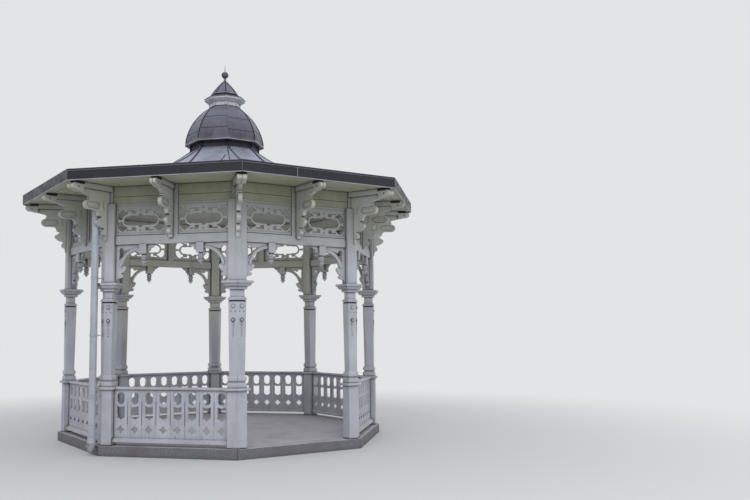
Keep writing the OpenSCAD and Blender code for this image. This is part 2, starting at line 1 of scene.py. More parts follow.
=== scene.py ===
"""Looks of an octagonal timber bandstand: white oil paint, boarded soffit, seamed sheet roofs and a stone kerb."""

from __future__ import annotations

import logging
import math
from contextlib import contextmanager
from dataclasses import dataclass
from enum import Enum
from typing import Iterable, Iterator, Protocol, Sequence

import bmesh
import bpy
from mathutils import Matrix, Vector


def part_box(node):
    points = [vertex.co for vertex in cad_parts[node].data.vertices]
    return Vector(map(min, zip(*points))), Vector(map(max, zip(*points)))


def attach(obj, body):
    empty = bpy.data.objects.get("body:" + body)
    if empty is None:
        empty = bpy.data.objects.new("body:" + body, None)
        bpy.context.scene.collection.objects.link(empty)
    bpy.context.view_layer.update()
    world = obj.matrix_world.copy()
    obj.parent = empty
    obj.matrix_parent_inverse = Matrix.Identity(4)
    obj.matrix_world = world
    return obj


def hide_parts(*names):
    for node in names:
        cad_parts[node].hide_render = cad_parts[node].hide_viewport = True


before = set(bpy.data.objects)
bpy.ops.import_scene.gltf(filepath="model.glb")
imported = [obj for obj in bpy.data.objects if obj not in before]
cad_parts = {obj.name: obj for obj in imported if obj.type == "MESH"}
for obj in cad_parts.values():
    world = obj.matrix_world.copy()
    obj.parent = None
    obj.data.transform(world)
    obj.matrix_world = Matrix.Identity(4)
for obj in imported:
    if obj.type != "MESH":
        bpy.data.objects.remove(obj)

LOG = logging.getLogger("bandstand")
BODY = "root"
MM = 0.001
SIDES = 8
TURN = 2 * math.pi / SIDES
HALF_TURN = TURN / 2
MIRROR = Matrix.Scale(-1.0, 4, (1.0, 0.0, 0.0))
UP, DOWN = (0.0, 0.0, 1.0), (0.0, 0.0, -1.0)
INWARDS, OUTWARDS = (0.0, 1.0, 0.0), (0.0, -1.0, 0.0)
# Lays the axis of a round primitive towards the entrance
FORWARD = (math.pi / 2, 0.0, 0.0)
# How closely the normal of a face follows the direction in which the face is said to look
ALIGNED = 0.9
# Vertices of a CAD node that are nearer than this are one
MERGE = 0.02 * MM
# Ambient occlusion in the open and deep in a corner
OPEN_SKY, SHUT_IN = 0.88, 0.45
# Distance from the axis, negative on faces that look inwards, where inner faces start to count and count fully
INNER_FROM, INNER_TO = -0.8, -1.9
# Linseed oil paint bends light a little less than glass does
OIL_PAINT_IOR = 1.48
NO_STRETCH = (1.0, 1.0, 1.0)
# Rain runs straight down, so what it leaves is eight times as tall as it is wide
RUNS = (1.0, 1.0, 0.12)

Socket = bpy.types.NodeSocket
Piece = bpy.types.Object
Material = bpy.types.Material
Triple = tuple[float, float, float]
# A roof's outline from the top down, as (corner radius, height)
Outline = Sequence[tuple[float, float]]


class Grain(Enum):
    """Which way the timber runs, as the share of detail along X, Y and Z."""

    UPRIGHT = (1.0, 1.0, 0.06)
    LEVEL = (0.07, 0.07, 1.0)


class Primitive(Enum):
    """The mesh primitives that pieces start from."""

    CUBE = "primitive_cube_add"
    CYLINDER = "primitive_cylinder_add"
    CONE = "primitive_cone_add"
    SPHERE = "primitive_uv_sphere_add"
    TORUS = "primitive_torus_add"


class Lay(Enum):
    """How a strip lies on a roof: over a slope, or up a steep side."""

    OVER = 1
    UP = 2


def linear(code: str) -> tuple[float, float, float, float]:
    """Turns an sRGB hex colour into the linear colour that shaders take.

    Args:
        code: Six hex digits.

    Returns:
        Red, green, blue and alpha, from 0 to 1.
    """
    channels = [int(code[i : i + 2], 16) / 255 for i in (0, 2, 4)]
    red, green, blue = (c / 12.92 if c <= 0.04045 else ((c + 0.055) / 1.055) ** 2.4 for c in channels)
    return (red, green, blue, 1.0)


@dataclass(frozen=True)
class Patch:
    """Where a layer of a finish shows: soft-edged blotches of a real size."""

    size_mm: float
    low: float = 0.45
    high: float = 0.7
    amount: float = 1.0
    detail: float = 4.0
    stretch: Triple = NO_STRETCH


class NodeWork:
    """A node tree that is being wired."""

    def __init__(self, tree: bpy.types.NodeTree) -> None:
        """Takes the tree in hand."""
        self.tree = tree

    def node(self, kind: str, settings: dict | None = None, links: dict | None = None) -> bpy.types.Node:
        """Adds a node with its settings and links.

        Args:
            kind: The node's Blender type.
            settings: Attributes of the node, or input sockets by name or number, with their values.
            links: Input sockets by name or number, each with the output that feeds it.

        Returns:
            The new node.
        """
        made = self.tree.nodes.new(kind)
        for key, value in (settings or {}).items():
            if isinstance(key, int) or key in made.inputs:
                made.inputs[key].default_value = value
            else:
                setattr(made, key, value)
        for key, output in (links or {}).items():
            self.tree.links.new(output, made.inputs[key])
        return made


class Shading(NodeWork):
    """One material and the nodes that make it."""

    def __init__(self, name: str) -> None:
        """Starts a material with its principled shader and object coordinates.

        Args:
            name: The finish in a maker's words.
        """
        self.material = bpy.data.materials.new(name)
        self.material.use_nodes = True
        super().__init__(self.material.node_tree)
        self.shader = self.tree.nodes["Principled BSDF"]
        self.place = self.node("ShaderNodeTexCoord").outputs["Object"]

    def feed(self, **outputs: Socket) -> None:
        """Feeds inputs of the principled shader, named with _ for a space."""
        for name, output in outputs.items():
            self.tree.links.new(output, self.shader.inputs[name.replace("_", " ")])

    def patches(self, patch: Patch, start: float = 0.0, end: float | None = None) -> Socket:
        """Works out where a patch shows.

        Args:
            patch: The patch.
            start: The value outside it.
            end: The value inside it, or None for its amount.

        Returns:
            The value over the surface.
        """
        place = self.node("ShaderNodeMapping", {"Scale": patch.stretch}, {"Vector": self.place}).outputs["Vector"]
        settings = {"Scale": 1 / (patch.size_mm * MM), "Detail": patch.detail, "Roughness": 0.6}
        value = self.node("ShaderNodeTexNoise", settings, {"Vector": place}).outputs["Fac"]
        settings = {"From Min": patch.low, "From Max": patch.high, "To Min": start}
        settings["To Max"] = patch.amount if end is None else end
        settings["interpolation_type"] = "SMOOTHSTEP"
        return self.node("ShaderNodeMapRange", settings, {"Value": value}).outputs["Result"]

    def hollows(self, reach_mm: float, amount: float) -> Socket:
        """Works out from ambient occlusion how shut in corners and the undersides of edges are: the oil paints darken
        there for dirt and painted shade, the sheets and stone only darken.

        Args:
            reach_mm: How near the next surface is.
            amount: The value deep in a corner.

        Returns:
            The value over the surface, 0 in the open.
        """
        open_sky = self.node("ShaderNodeAmbientOcclusion", {"samples": 4, "Distance": reach_mm * MM}).outputs["AO"]
        settings = {"From Min": OPEN_SKY, "From Max": SHUT_IN, "To Min": 0.0, "To Max": amount}
        return self.node("ShaderNodeMapRange", settings, {"Value": open_sky}).outputs["Result"]

    def facing(self, low: float, high: float, amount: float) -> Socket:
        """Works out which faces look up.

        Args:
            low: Upward part of the normal at which the value is 0.
            high: Upward part of the normal at which the value is the amount.
            amount: The greatest value.

        Returns:
            The value over the surface.
        """
        normal = self.node("ShaderNodeNewGeometry").outputs["Normal"]
        upward = self.node("ShaderNodeSeparateXYZ", None, {"Vector": normal}).outputs["Z"]
        settings = {"From Min": low, "From Max": high, "To Min": 0.0, "To Max": amount}
        return self.node("ShaderNodeMapRange", settings, {"Value": upward}).outputs["Result"]

    def between(self, low: float, high: float, soft: float) -> Socket:
        """Returns 1 between two levels above the ground and 0 beyond them, over a soft edge in metres.

        Args:
            low: The lower level.
            high: The upper level.
            soft: How far the value fades beyond them.

        Returns:
            The value over the surface.
        """
        level = self.node("ShaderNodeSeparateXYZ", None, {"Vector": self.place}).outputs["Z"]
        rise = {"From Min": low - soft, "From Max": low}
        fall = {"From Min": high, "From Max": high + soft, "To Min": 1.0, "To Max": 0.0}
        above = self.node("ShaderNodeMapRange", rise, {"Value": level}).outputs["Result"]
        below = self.node("ShaderNodeMapRange", fall, {"Value": level}).outputs["Result"]
        return self.node("ShaderNodeMath", {"operation": "MULTIPLY"}, {0: above, 1: below}).outputs["Value"]

    def inward(self, low: float, high: float, soft: float, amount: float) -> Socket:
        """Works out which faces look at the middle of the bandstand between two levels.

        Args:
            low: The lower level in metres.
            high: The upper level.
            soft: How far the value fades beyond them.
            amount: The greatest value.

        Returns:
            The value over the surface.
        """
        normal = self.node("ShaderNodeNewGeometry").outputs["Normal"]
        settings = {"operation": "MULTIPLY", 1: (1.0, 1.0, 0.0)}
        level = self.node("ShaderNodeVectorMath", settings, {0: self.place}).outputs["Vector"]
        links = {0: normal, 1: level}
        outward = self.node("ShaderNodeVectorMath", {"operation": "DOT_PRODUCT"}, links).outputs["Value"]
        settings = {"From Min": INNER_FROM, "From Max": INNER_TO, "To Min": 0.0, "To Max": amount}
        inner = self.node("ShaderNodeMapRange", settings, {"Value": outward}).outputs["Result"]
        links = {0: inner, 1: self.between(low, high, soft)}
        return self.node("ShaderNodeMath", {"operation": "MULTIPLY"}, links).outputs["Value"]

    def layered(self, base: str, layers: Iterable[tuple[Socket, str]]) -> Socket:
        """Lays paint, dirt and wear over a base colour.

        Args:
            base: The colour underneath.
            layers: Where each layer shows, with its colour.

        Returns:
            The colour over the surface.
        """
        under: Socket | None = None
        for mask, colour in layers:
            settings = {"data_type": "RGBA", "blend_type": "MIX", 7: linear(colour)}
            links = {0: mask}
            if under is None:
                settings[6] = linear(base)
            else:
                links[6] = under
            under = self.node("ShaderNodeMix", settings, links).outputs[2]
        return under

    def relief(self, heights: Iterable[tuple[Socket, float]], rounding_mm: float = 0.0) -> None:
        """Gives the surface its bumps over softened edges.

        Args:
            heights: Height maps, each with its depth in millimetres.
            rounding_mm: Radius to which hard edges are softened, or 0 for none.
        """
        links = {}
        if rounding_mm:
            softened = self.node("ShaderNodeBevel", {"samples": 4, "Radius": rounding_mm * MM})
            links = {"Normal": softened.outputs["Normal"]}
        for value, depth in heights:
            links["Height"] = value
            links = {"Normal": self.node("ShaderNodeBump", {"Distance": depth * MM}, links).outputs["Normal"]}
        self.feed(Normal=links["Normal"])


class Finish(Protocol):
    """Anything that makes a material."""

    name: str

    def material(self) -> Material:
        """Returns the finished material."""


@dataclass(frozen=True)
class BoardJoints:
    """Butt joints between the upright boards of one bay, above and below the open slots."""

    turn: float
    pitch: float
    width_mm: float = 3.0
    levels: tuple[tuple[float, float], ...] = ((0.25, 0.466), (0.806, 0.99))

    def lines(self, s: Shading) -> Socket:
        """Returns where the joints run, 1 in a joint.

        Args:
            s: The material in work.

        Returns:
            The value over the surface.
        """
        settings = {"Rotation": (0.0, 0.0, -self.turn)}
        turned = s.node("ShaderNodeMapping", settings, {"Vector": s.place}).outputs["Vector"]
        across = s.node("ShaderNodeSeparateXYZ", None, {"Vector": turned}).outputs["X"]
        nearest = {"operation": "PINGPONG", 1: self.pitch / 2}
        distance = s.node("ShaderNodeMath", nearest, {0: across}).outputs["Value"]
        narrow = {"operation": "LESS_THAN", 1: self.width_mm * MM / 2}
        line = s.node("ShaderNodeMath", narrow, {0: distance}).outputs["Value"]
        low, high = (s.between(*level, 0.002) for level in self.levels)
        boards = s.node("ShaderNodeMath", {"operation": "ADD"}, {0: low, 1: high}).outputs["Value"]
        return s.node("ShaderNodeMath", {"operation": "MULTIPLY"}, {0: line, 1: boards}).outputs["Value"]


@dataclass(frozen=True)
class ArrisJoints:
    """Mitres that have opened along the outer arris of every post, between given levels."""

    width: float = math.radians(0.09)
    levels: tuple[tuple[float, float], ...] = ((2.471, 2.598), (1.1, 1.206))

    def lines(self, s: Shading) -> Socket:
        """Returns where the mitres run, 1 in a joint.

        Args:
            s: The material in work.

        Returns:
            The value over the surface.
        """
        flat = s.node("ShaderNodeSeparateXYZ", None, {"Vector": s.place})
        links = {0: flat.outputs["Y"], 1: flat.outputs["X"]}
        angle = s.node("ShaderNodeMath", {"operation": "ARCTAN2"}, links).outputs["Value"]
        folded = s.node("ShaderNodeMath", {"operation": "PINGPONG", 1: HALF_TURN}, {0: angle}).outputs["Value"]
        narrow = {"operation": "GREATER_THAN", 1: HALF_TURN - self.width / 2}
        line = s.node("ShaderNodeMath", narrow, {0: folded}).outputs["Value"]
        low, high = (s.between(*level, 0.002) for level in self.levels)
        mouldings = s.node("ShaderNodeMath", {"operation": "ADD"}, {0: low, 1: high}).outputs["Value"]
        return s.node("ShaderNodeMath", {"operation": "MULTIPLY"}, {0: line, 1: mouldings}).outputs["Value"]


@dataclass(frozen=True)
class OilPaint:
    """White oil paint brushed on planed softwood. It gives a soft gloss with the grain showing through,
    rain streaks, dirt and painted shade in the corners, painted shade under the eaves, painted light on
    faces that look inwards, fine cracks along the grain and chips down to grey wood."""

    name: str
    grain: Grain
    colour: str = "B2B4BC"
    tone: str = "A2A4AB"
    streak: str = "7F8080"
    # Dirt and painted shade from ambient occlusion, in corners and under mouldings
    grime_and_shade: str = "54534F"
    deep_grime_and_shade: str = "2E2C2A"
    bare: str = "75695C"
    crack: str = "55524F"
    roughness: float = 0.5
    streaks: float = 0.5
    chips: float = 1.0
    cracks: float = 0.7
    crevices: float = 0.9
    # Painted shade under the eaves: a darker tone with a green cast of bounced light between two levels, fading beyond
    # them
    eaves_shade: float = 0.7
    eaves_shade_level: float = 3.8
    eaves_shade_head: float = 5.0
    eaves_shade_tone: str = "84867C"
    eaves_shade_fade: float = 1.1
    # Painted light: faces that look inwards between two levels are painted paler, so that the inside reads as lit
    inner_painted_light: str = "D8D6CA"
    inner_levels: tuple[float, float] = (2.5, 5.0)
    inner_fade: float = 0.9
    inner_amount: float = 0.9
    joints: BoardJoints | ArrisJoints | None = None
    # The growth rings of pine are about 3 mm apart, too fine to show, so they are drawn three times as coarse
    grain_mm: float = 9.0
    chip_mm: float = 24.0

    def material(self) -> Material:
        """Mixes the material.

        Returns:
            The finished material.
        """
        s = Shading(self.name)
        along = self.grain.value
        lines = s.patches(Patch(self.grain_mm, 0.2, 0.8, detail=5.0, stretch=along))
        worn = s.patches(Patch(420.0, 0.5, 0.62, self.chips, 2.0))
        chipped = s.patches(Patch(self.chip_mm, 0.66, 0.7, detail=5.0, stretch=along))
        chips = s.node("ShaderNodeMath", {"operation": "MULTIPLY"}, {0: chipped, 1: worn}).outputs["Value"]
        eaves = s.between(self.eaves_shade_level, self.eaves_shade_head, self.eaves_shade_fade)
        # cream: painted shade under the eaves, with a green cast of bounced light
        cream = s.node("ShaderNodeMath", {"operation": "MULTIPLY", 1: self.eaves_shade}, {0: eaves}).outputs["Value"]
        layers = [
            (s.patches(Patch(600.0, 0.3, 0.7, detail=3.0)), self.tone),
            # Painted shade under the eaves
            (cream, self.eaves_shade_tone),
            # Painted light on the faces that look inwards
            (s.inward(*self.inner_levels, self.inner_fade, self.inner_amount), self.inner_painted_light),
            (s.patches(Patch(75.0, 0.48, 0.78, self.streaks, 6.0, RUNS)), self.streak),
            (s.patches(Patch(19.0, 0.55, 0.8, self.streaks / 2, 4.0, RUNS)), self.streak),
            # Dirt and painted shade in corners and under mouldings, such as the dark line under a rail
            (s.hollows(44.0, 0.8), self.grime_and_shade),
            (s.hollows(20.0, self.crevices), self.deep_grime_and_shade),
            (self.crack_lines(s), self.crack),
            (chips, self.bare),
        ]
        if self.joints:
            layers.append((self.joints.lines(s), self.crack))
        matt = s.patches(Patch(self.chip_mm, 0.6, 0.72, stretch=along), self.roughness - 0.04, self.roughness + 0.12)
        s.feed(Base_Color=s.layered(self.colour, layers), Roughness=matt)
        s.shader.inputs["IOR"].default_value = OIL_PAINT_IOR
        sunk = s.node("ShaderNodeMath", {"operation": "SUBTRACT", 0: 1.0}, {1: chips}).outputs["Value"]
        s.relief([(lines, 0.5), (sunk, 0.5)], 3.0)
        return s.material

    def crack_lines(self, s: Shading) -> Socket:
        """Returns where hairline cracks run along the grain, in the worn areas.

        Args:
            s: The material in work.

        Returns:
            The value over the surface.
        """
        settings = {"Scale": tuple(share * 0.7 for share in self.grain.value)}
        place = s.node("ShaderNodeMapping", settings, {"Vector": s.place}).outputs["Vector"]
        value = s.node("ShaderNodeTexNoise", {"Scale": 22.0, "Detail": 6.0}, {"Vector": place}).outputs["Fac"]
        line = s.node("ShaderNodeMath", {"operation": "COMPARE", 1: 0.5, 2: 0.006}, {0: value}).outputs["Value"]
        area = s.patches(Patch(300.0, 0.52, 0.64, self.cracks, 3.0))
        return s.node("ShaderNodeMath", {"operation": "MULTIPLY"}, {0: line, 1: area}).outputs["Value"]


@dataclass(frozen=True)
class SheetMetal:
    """Coated steel or zinc sheet, weathered in the open. It gives a dull sheen broken by run marks, stains
    and slight dents, and darkens in hollows. Where a finish sets them, it adds painted shade on steep faces and a
    painted tone on faces that look up."""

    name: str
    colour: str
    tone: str
    stain: str
    metallic: float = 0.5
    roughness: float = 0.5
    stains: float = 0.6
    # Painted shade on faces steeper than a slope, such as where the roof's sheet folds down
    rim: str = ""
    speckle: str = ""
    # Painted tone on faces that look up: a highlight on the dome, a dark reflection on the cap
    upper: str = ""
    upper_from: float = 0.15
    upper_to: float = 0.8
    sheen: float = 0.5
    # Darker in hollows and under edges, from ambient occlusion
    hollow_dark: str = "1E1D20"

    def material(self) -> Material:
        """Mixes the material.

        Returns:
            The finished material.
        """
        s = Shading(self.name)
        layers = [
            (s.patches(Patch(320.0, 0.35, 0.68, detail=5.0)), self.tone),
            (s.patches(Patch(60.0, 0.45, 0.75, self.stains, 6.0, RUNS)), self.stain),
        ]
        # Painted tone on faces that look up
        if self.upper:
            layers.append((s.facing(self.upper_from, self.upper_to, 0.8), self.upper))
        if self.speckle:
            layers.append((s.patches(Patch(28.0, 0.62, 0.74, 0.6, 6.0)), self.speckle))
            layers.append((s.patches(Patch(20.0, 0.6, 0.76, 0.4, 6.0, RUNS)), self.speckle))
        # Painted shade on steep faces
        if self.rim:
            layers.append((s.facing(0.5, 0.3, 1.0), self.rim))
        layers.append((s.hollows(60.0, 0.6), self.hollow_dark))
        sheen = s.patches(Patch(130.0, 0.3, 0.7, detail=5.0), self.roughness - 0.1, self.roughness + 0.14)
        s.feed(Base_Color=s.layered(self.colour, layers), Roughness=sheen)
        s.shader.inputs["Metallic"].default_value = self.metallic
        s.shader.inputs["Specular IOR Level"].default_value = self.sheen
        s.relief([(s.patches(Patch(380.0, 0.3, 0.7)), 3.0), (s.patches(Patch(7.0, 0.3, 0.7)), 0.1)], 2.0)
        return s.material


@dataclass(frozen=True)
class Stone:
    """Granite or screed. It gives mineral grains or sand in a dull matt face, painted paler on top as a painted
    highlight, with damp stains."""

    name: str
    colour: str
    dark: str
    light: str
    stain: str
    grain_mm: float
    # Painted highlight on the faces that look up
    top: str
    stains: float = 0.5
    depth_mm: float = 0.8
    streak: Triple = NO_STRETCH
    # Darker in hollows and under edges, from ambient occlusion
    hollow_dark: str = "3F3C3A"

    def material(self) -> Material:
        """Mixes the material.

        Returns:
            The finished material.
        """
        s = Shading(self.name)
        layers = [
            # Painted highlight on the top
            (s.facing(0.4, 0.8, 1.0), self.top),
            (s.patches(Patch(self.grain_mm, 0.5, 0.34, 0.6, 3.0)), self.dark),
            (s.patches(Patch(self.grain_mm * 1.3, 0.56, 0.7, 0.5, 3.0)), self.light),
            (s.patches(Patch(self.grain_mm * 4, 0.52, 0.64, 0.5, 5.0)), self.light),
            (s.patches(Patch(self.grain_mm * 5, 0.55, 0.66, 0.45, 5.0)), self.dark),
            (s.patches(Patch(260.0, 0.46, 0.72, self.stains, 6.0, self.streak)), self.stain),
            (s.patches(Patch(70.0, 0.58, 0.74, self.stains / 2, 6.0)), self.dark),
            (s.hollows(80.0, 0.6), self.hollow_dark),
        ]
        s.feed(Base_Color=s.layered(self.colour, layers))
        s.shader.inputs["Roughness"].default_value = 0.85
        bumps = [(s.patches(Patch(90.0, 0.3, 0.7)), 2.0), (s.patches(Patch(self.grain_mm, 0.3, 0.7)), self.depth_mm)]
        s.relief(bumps, 4.0)
        return s.material


@dataclass(frozen=True)
class DarkTrim:
    """Small things with no grain to see: wrought nails and screws gone brown, and the black of strips that stand
    for shadow lines. They read as dark points and lines in the paint."""

    name: str
    colour: str = "4A4543"
    rust: str = "6B4A38"

    def material(self) -> Material:
        """Mixes the material.

        Returns:
            The finished material.
        """
        s = Shading(self.name)
        s.feed(Base_Color=s.layered(self.colour, [(s.patches(Patch(4.0, 0.45, 0.6)), self.rust)]))
        s.shader.inputs["Metallic"].default_value = 0.4
        s.shader.inputs["Roughness"].default_value = 0.7
        s.relief([(s.patches(Patch(1.5, 0.3, 0.7)), 0.2)])
        return s.material


# Posts stand in the rain: clean white with few cracks, and dark lines where the mitres have opened
POST_PAINT = OilPaint("white_oil_paint_posts", Grain.UPRIGHT, streaks=0.3, cracks=0.35, joints=ArrisJoints())
# Turned and upright timber: the grain runs up it, so the cracks and streaks look tall and thin
UPRIGHT_PAINT = OilPaint("white_oil_paint_upright", Grain.UPRIGHT)
# Beams: the grain runs along them, and the drip under them leaves them nearly free of streaks
LEVEL_PAINT = OilPaint("white_oil_paint_level", Grain.LEVEL, cracks=0.4, streaks=0.22)
# Sawn boards up in the shade: few chips and cracks, so that the cut shapes read first
SAWN_PAINT = OilPaint("white_oil_paint_sawn_work", Grain.LEVEL, streaks=0.35, chips=0.4, cracks=0.3)
# The drum is out in the sun above all else: painted brighter and a little blue as painted light, without the painted
# shade of the eaves
LANTERN_PAINT = OilPaint(
    "white_oil_paint_lantern", Grain.LEVEL, colour="B7BBC0", tone="A4A9AD", streak="7F8583", chips=0.3, eaves_shade=0.0
)
# Brackets hang under the eaves: painted yellower towards the top as painted shade, with dirt and painted shade in
# every corner
BRACKET_PAINT = OilPaint(
    "cream_paint_eaves_shade", Grain.LEVEL, colour="B4B6B8", tone="A7A8A3", streak="82847A", chips=0.4, streaks=0.35,
    cracks=0.3, crevices=1.0, eaves_shade=0.5, eaves_shade_tone="A9AA96", eaves_shade_level=3.75, eaves_shade_fade=0.45,
)
# The soffit: cream darkened and tinted green-grey as painted shade with a cast of bounced light, darker still in the
# joints as dirt and painted shade
SOFFIT_SHADE_PAINT = OilPaint(
    "cream_paint_soffit_shade", Grain.LEVEL, colour="B3B2A0", tone="A6A78A", streak="8B8D6C", grime_and_shade="5E6046",
    crack="4A4B40", chips=0.3, streaks=0.4, eaves_shade=0.0,
)
# The ceiling is dry and dim: warm cream darkened as painted shade, with grey-green dirt and painted shade in its
# corners
CEILING_PAINT = OilPaint(
    "cream_paint_ceiling_shade", Grain.LEVEL, colour="BABAB1", tone="ACADA1", streak="8F907F", grime_and_shade="6A6B5A",
    crack="55564A", chips=0.3, streaks=0.3, eaves_shade=0.0,
)
# The band sits in the deepest shade of the eaves, and that shade is painted into it: the greenest and darkest of the
# paints, the green a painted cast of bounced light
BAND_PAINT = OilPaint(
    "cream_paint_band_shade", Grain.LEVEL, colour="909183", tone="84866D", streak="707259", grime_and_shade="57593F",
    crack="4A4B40", chips=0.3, streaks=0.4, eaves_shade=0.0,
)
# Zinc left in the weather: pale blue-grey and matt, the blue partly a painted reflection of the sky, with painted
# shade on the steep faces where it folds down
ROOF_SHEET = SheetMetal("zinc_sheet_weathered", "A6A9B9", "9A9DAE", "838795", rim="34353F", stains=0.4)
# Folds, ribs and laps of the roofs and the neck under the dome: near black as painted shade, so that they draw thin
# lines over it
SEAM_SHEET = SheetMetal("zinc_seams_painted_shade", "302F38", "2A2930", "222127", roughness=0.55, stains=0.4)
# Coated steel of the dome: brown-grey, painted paler where it faces the sky as a painted highlight, speckled where the
# coat is worn
DOME_SHEET = SheetMetal(
    "coated_sheet_brown_grey", "5A5763", "4A464E", "38343A", roughness=0.42, stains=0.75, speckle="9093A2",
    upper="868999"
)
# The cap: dull and without a shine, painted dark where it looks straight up as a painted dark reflection
CAP_SHEET = SheetMetal(
    "coated_sheet_cap", "7A7B8A", "6C6D7B", "4B4A53", metallic=0.0, roughness=0.7, speckle="9497A6", upper="26262D",
    upper_from=0.7, upper_to=0.8, sheen=0.0,
)
# Slate-coloured sheet round the eaves: the darkest band, with a dull shine
FASCIA_SHEET = SheetMetal("coated_sheet_slate", "1E2029", "1A1C24", "15161B", metallic=0.2, roughness=0.45, stains=0.4)
# The folded foot of the fascia: bare and bright, one pale line under the dark sheet; the same sheet gives the pale
# laps on every second side, a painted highlight
EDGE_SHEET = SheetMetal("folded_sheet_foot", "A9A8B6", "9A99A7", "7C7B88", roughness=0.4, stains=0.3)
# Turned-up edges and beads: pale as painted highlight, where they catch the light beside the dark folds
BEAD_SHEET = SheetMetal("folded_sheet_edge_highlight", "A3A3B0", "93929E", "777580", roughness=0.4, stains=0.3)
# The downpipe's paint: pale grey with a faint gloss, streaked below each ring
PIPE_PAINT = SheetMetal(
    "painted_sheet_pale_grey", "A6ACB4", "9AA1A8", "84898D", metallic=0.0, roughness=0.38, stains=0.35
)
# Granite: grains of 2 to 4 mm are drawn at 5 mm, as finer ones don't show; its top is painted paler as a painted
# highlight
KERB_STONE = Stone("granite_picked", "696870", "525158", "96949C", "625750", grain_mm=5.0, top="B9B7BE")
# Cement floor: sand of 1 to 2 mm is drawn at 5 mm, as finer grit doesn't show; worn smooth and stained
SCREED = Stone(
    "cement_screed_worn", "B2B0B7", "9C9AA0", "C2C0C6", "7C787E", grain_mm=5.0, top="B4B2BA", stains=0.35,
    depth_mm=0.4, streak=(0.6, 0.5, 1.0),
)
# Wrought nails: brown points in the paint; rust of a millimetre is drawn at 4 mm to show at all
NAIL_IRON = DarkTrim("wrought_iron_browned")
# Black for strips and rings put where there is only shade: painted shadow lines
SHADOW_BLACK = DarkTrim("painted_shadow_black", "2A2825", "35322D")
# Black for the fascia's laps on every second side, painted shadow: the blackest lines, with no shine
LAP_SHADOW_BLACK = DarkTrim("lap_painted_shadow_black", "08080A", "0E0D0F")


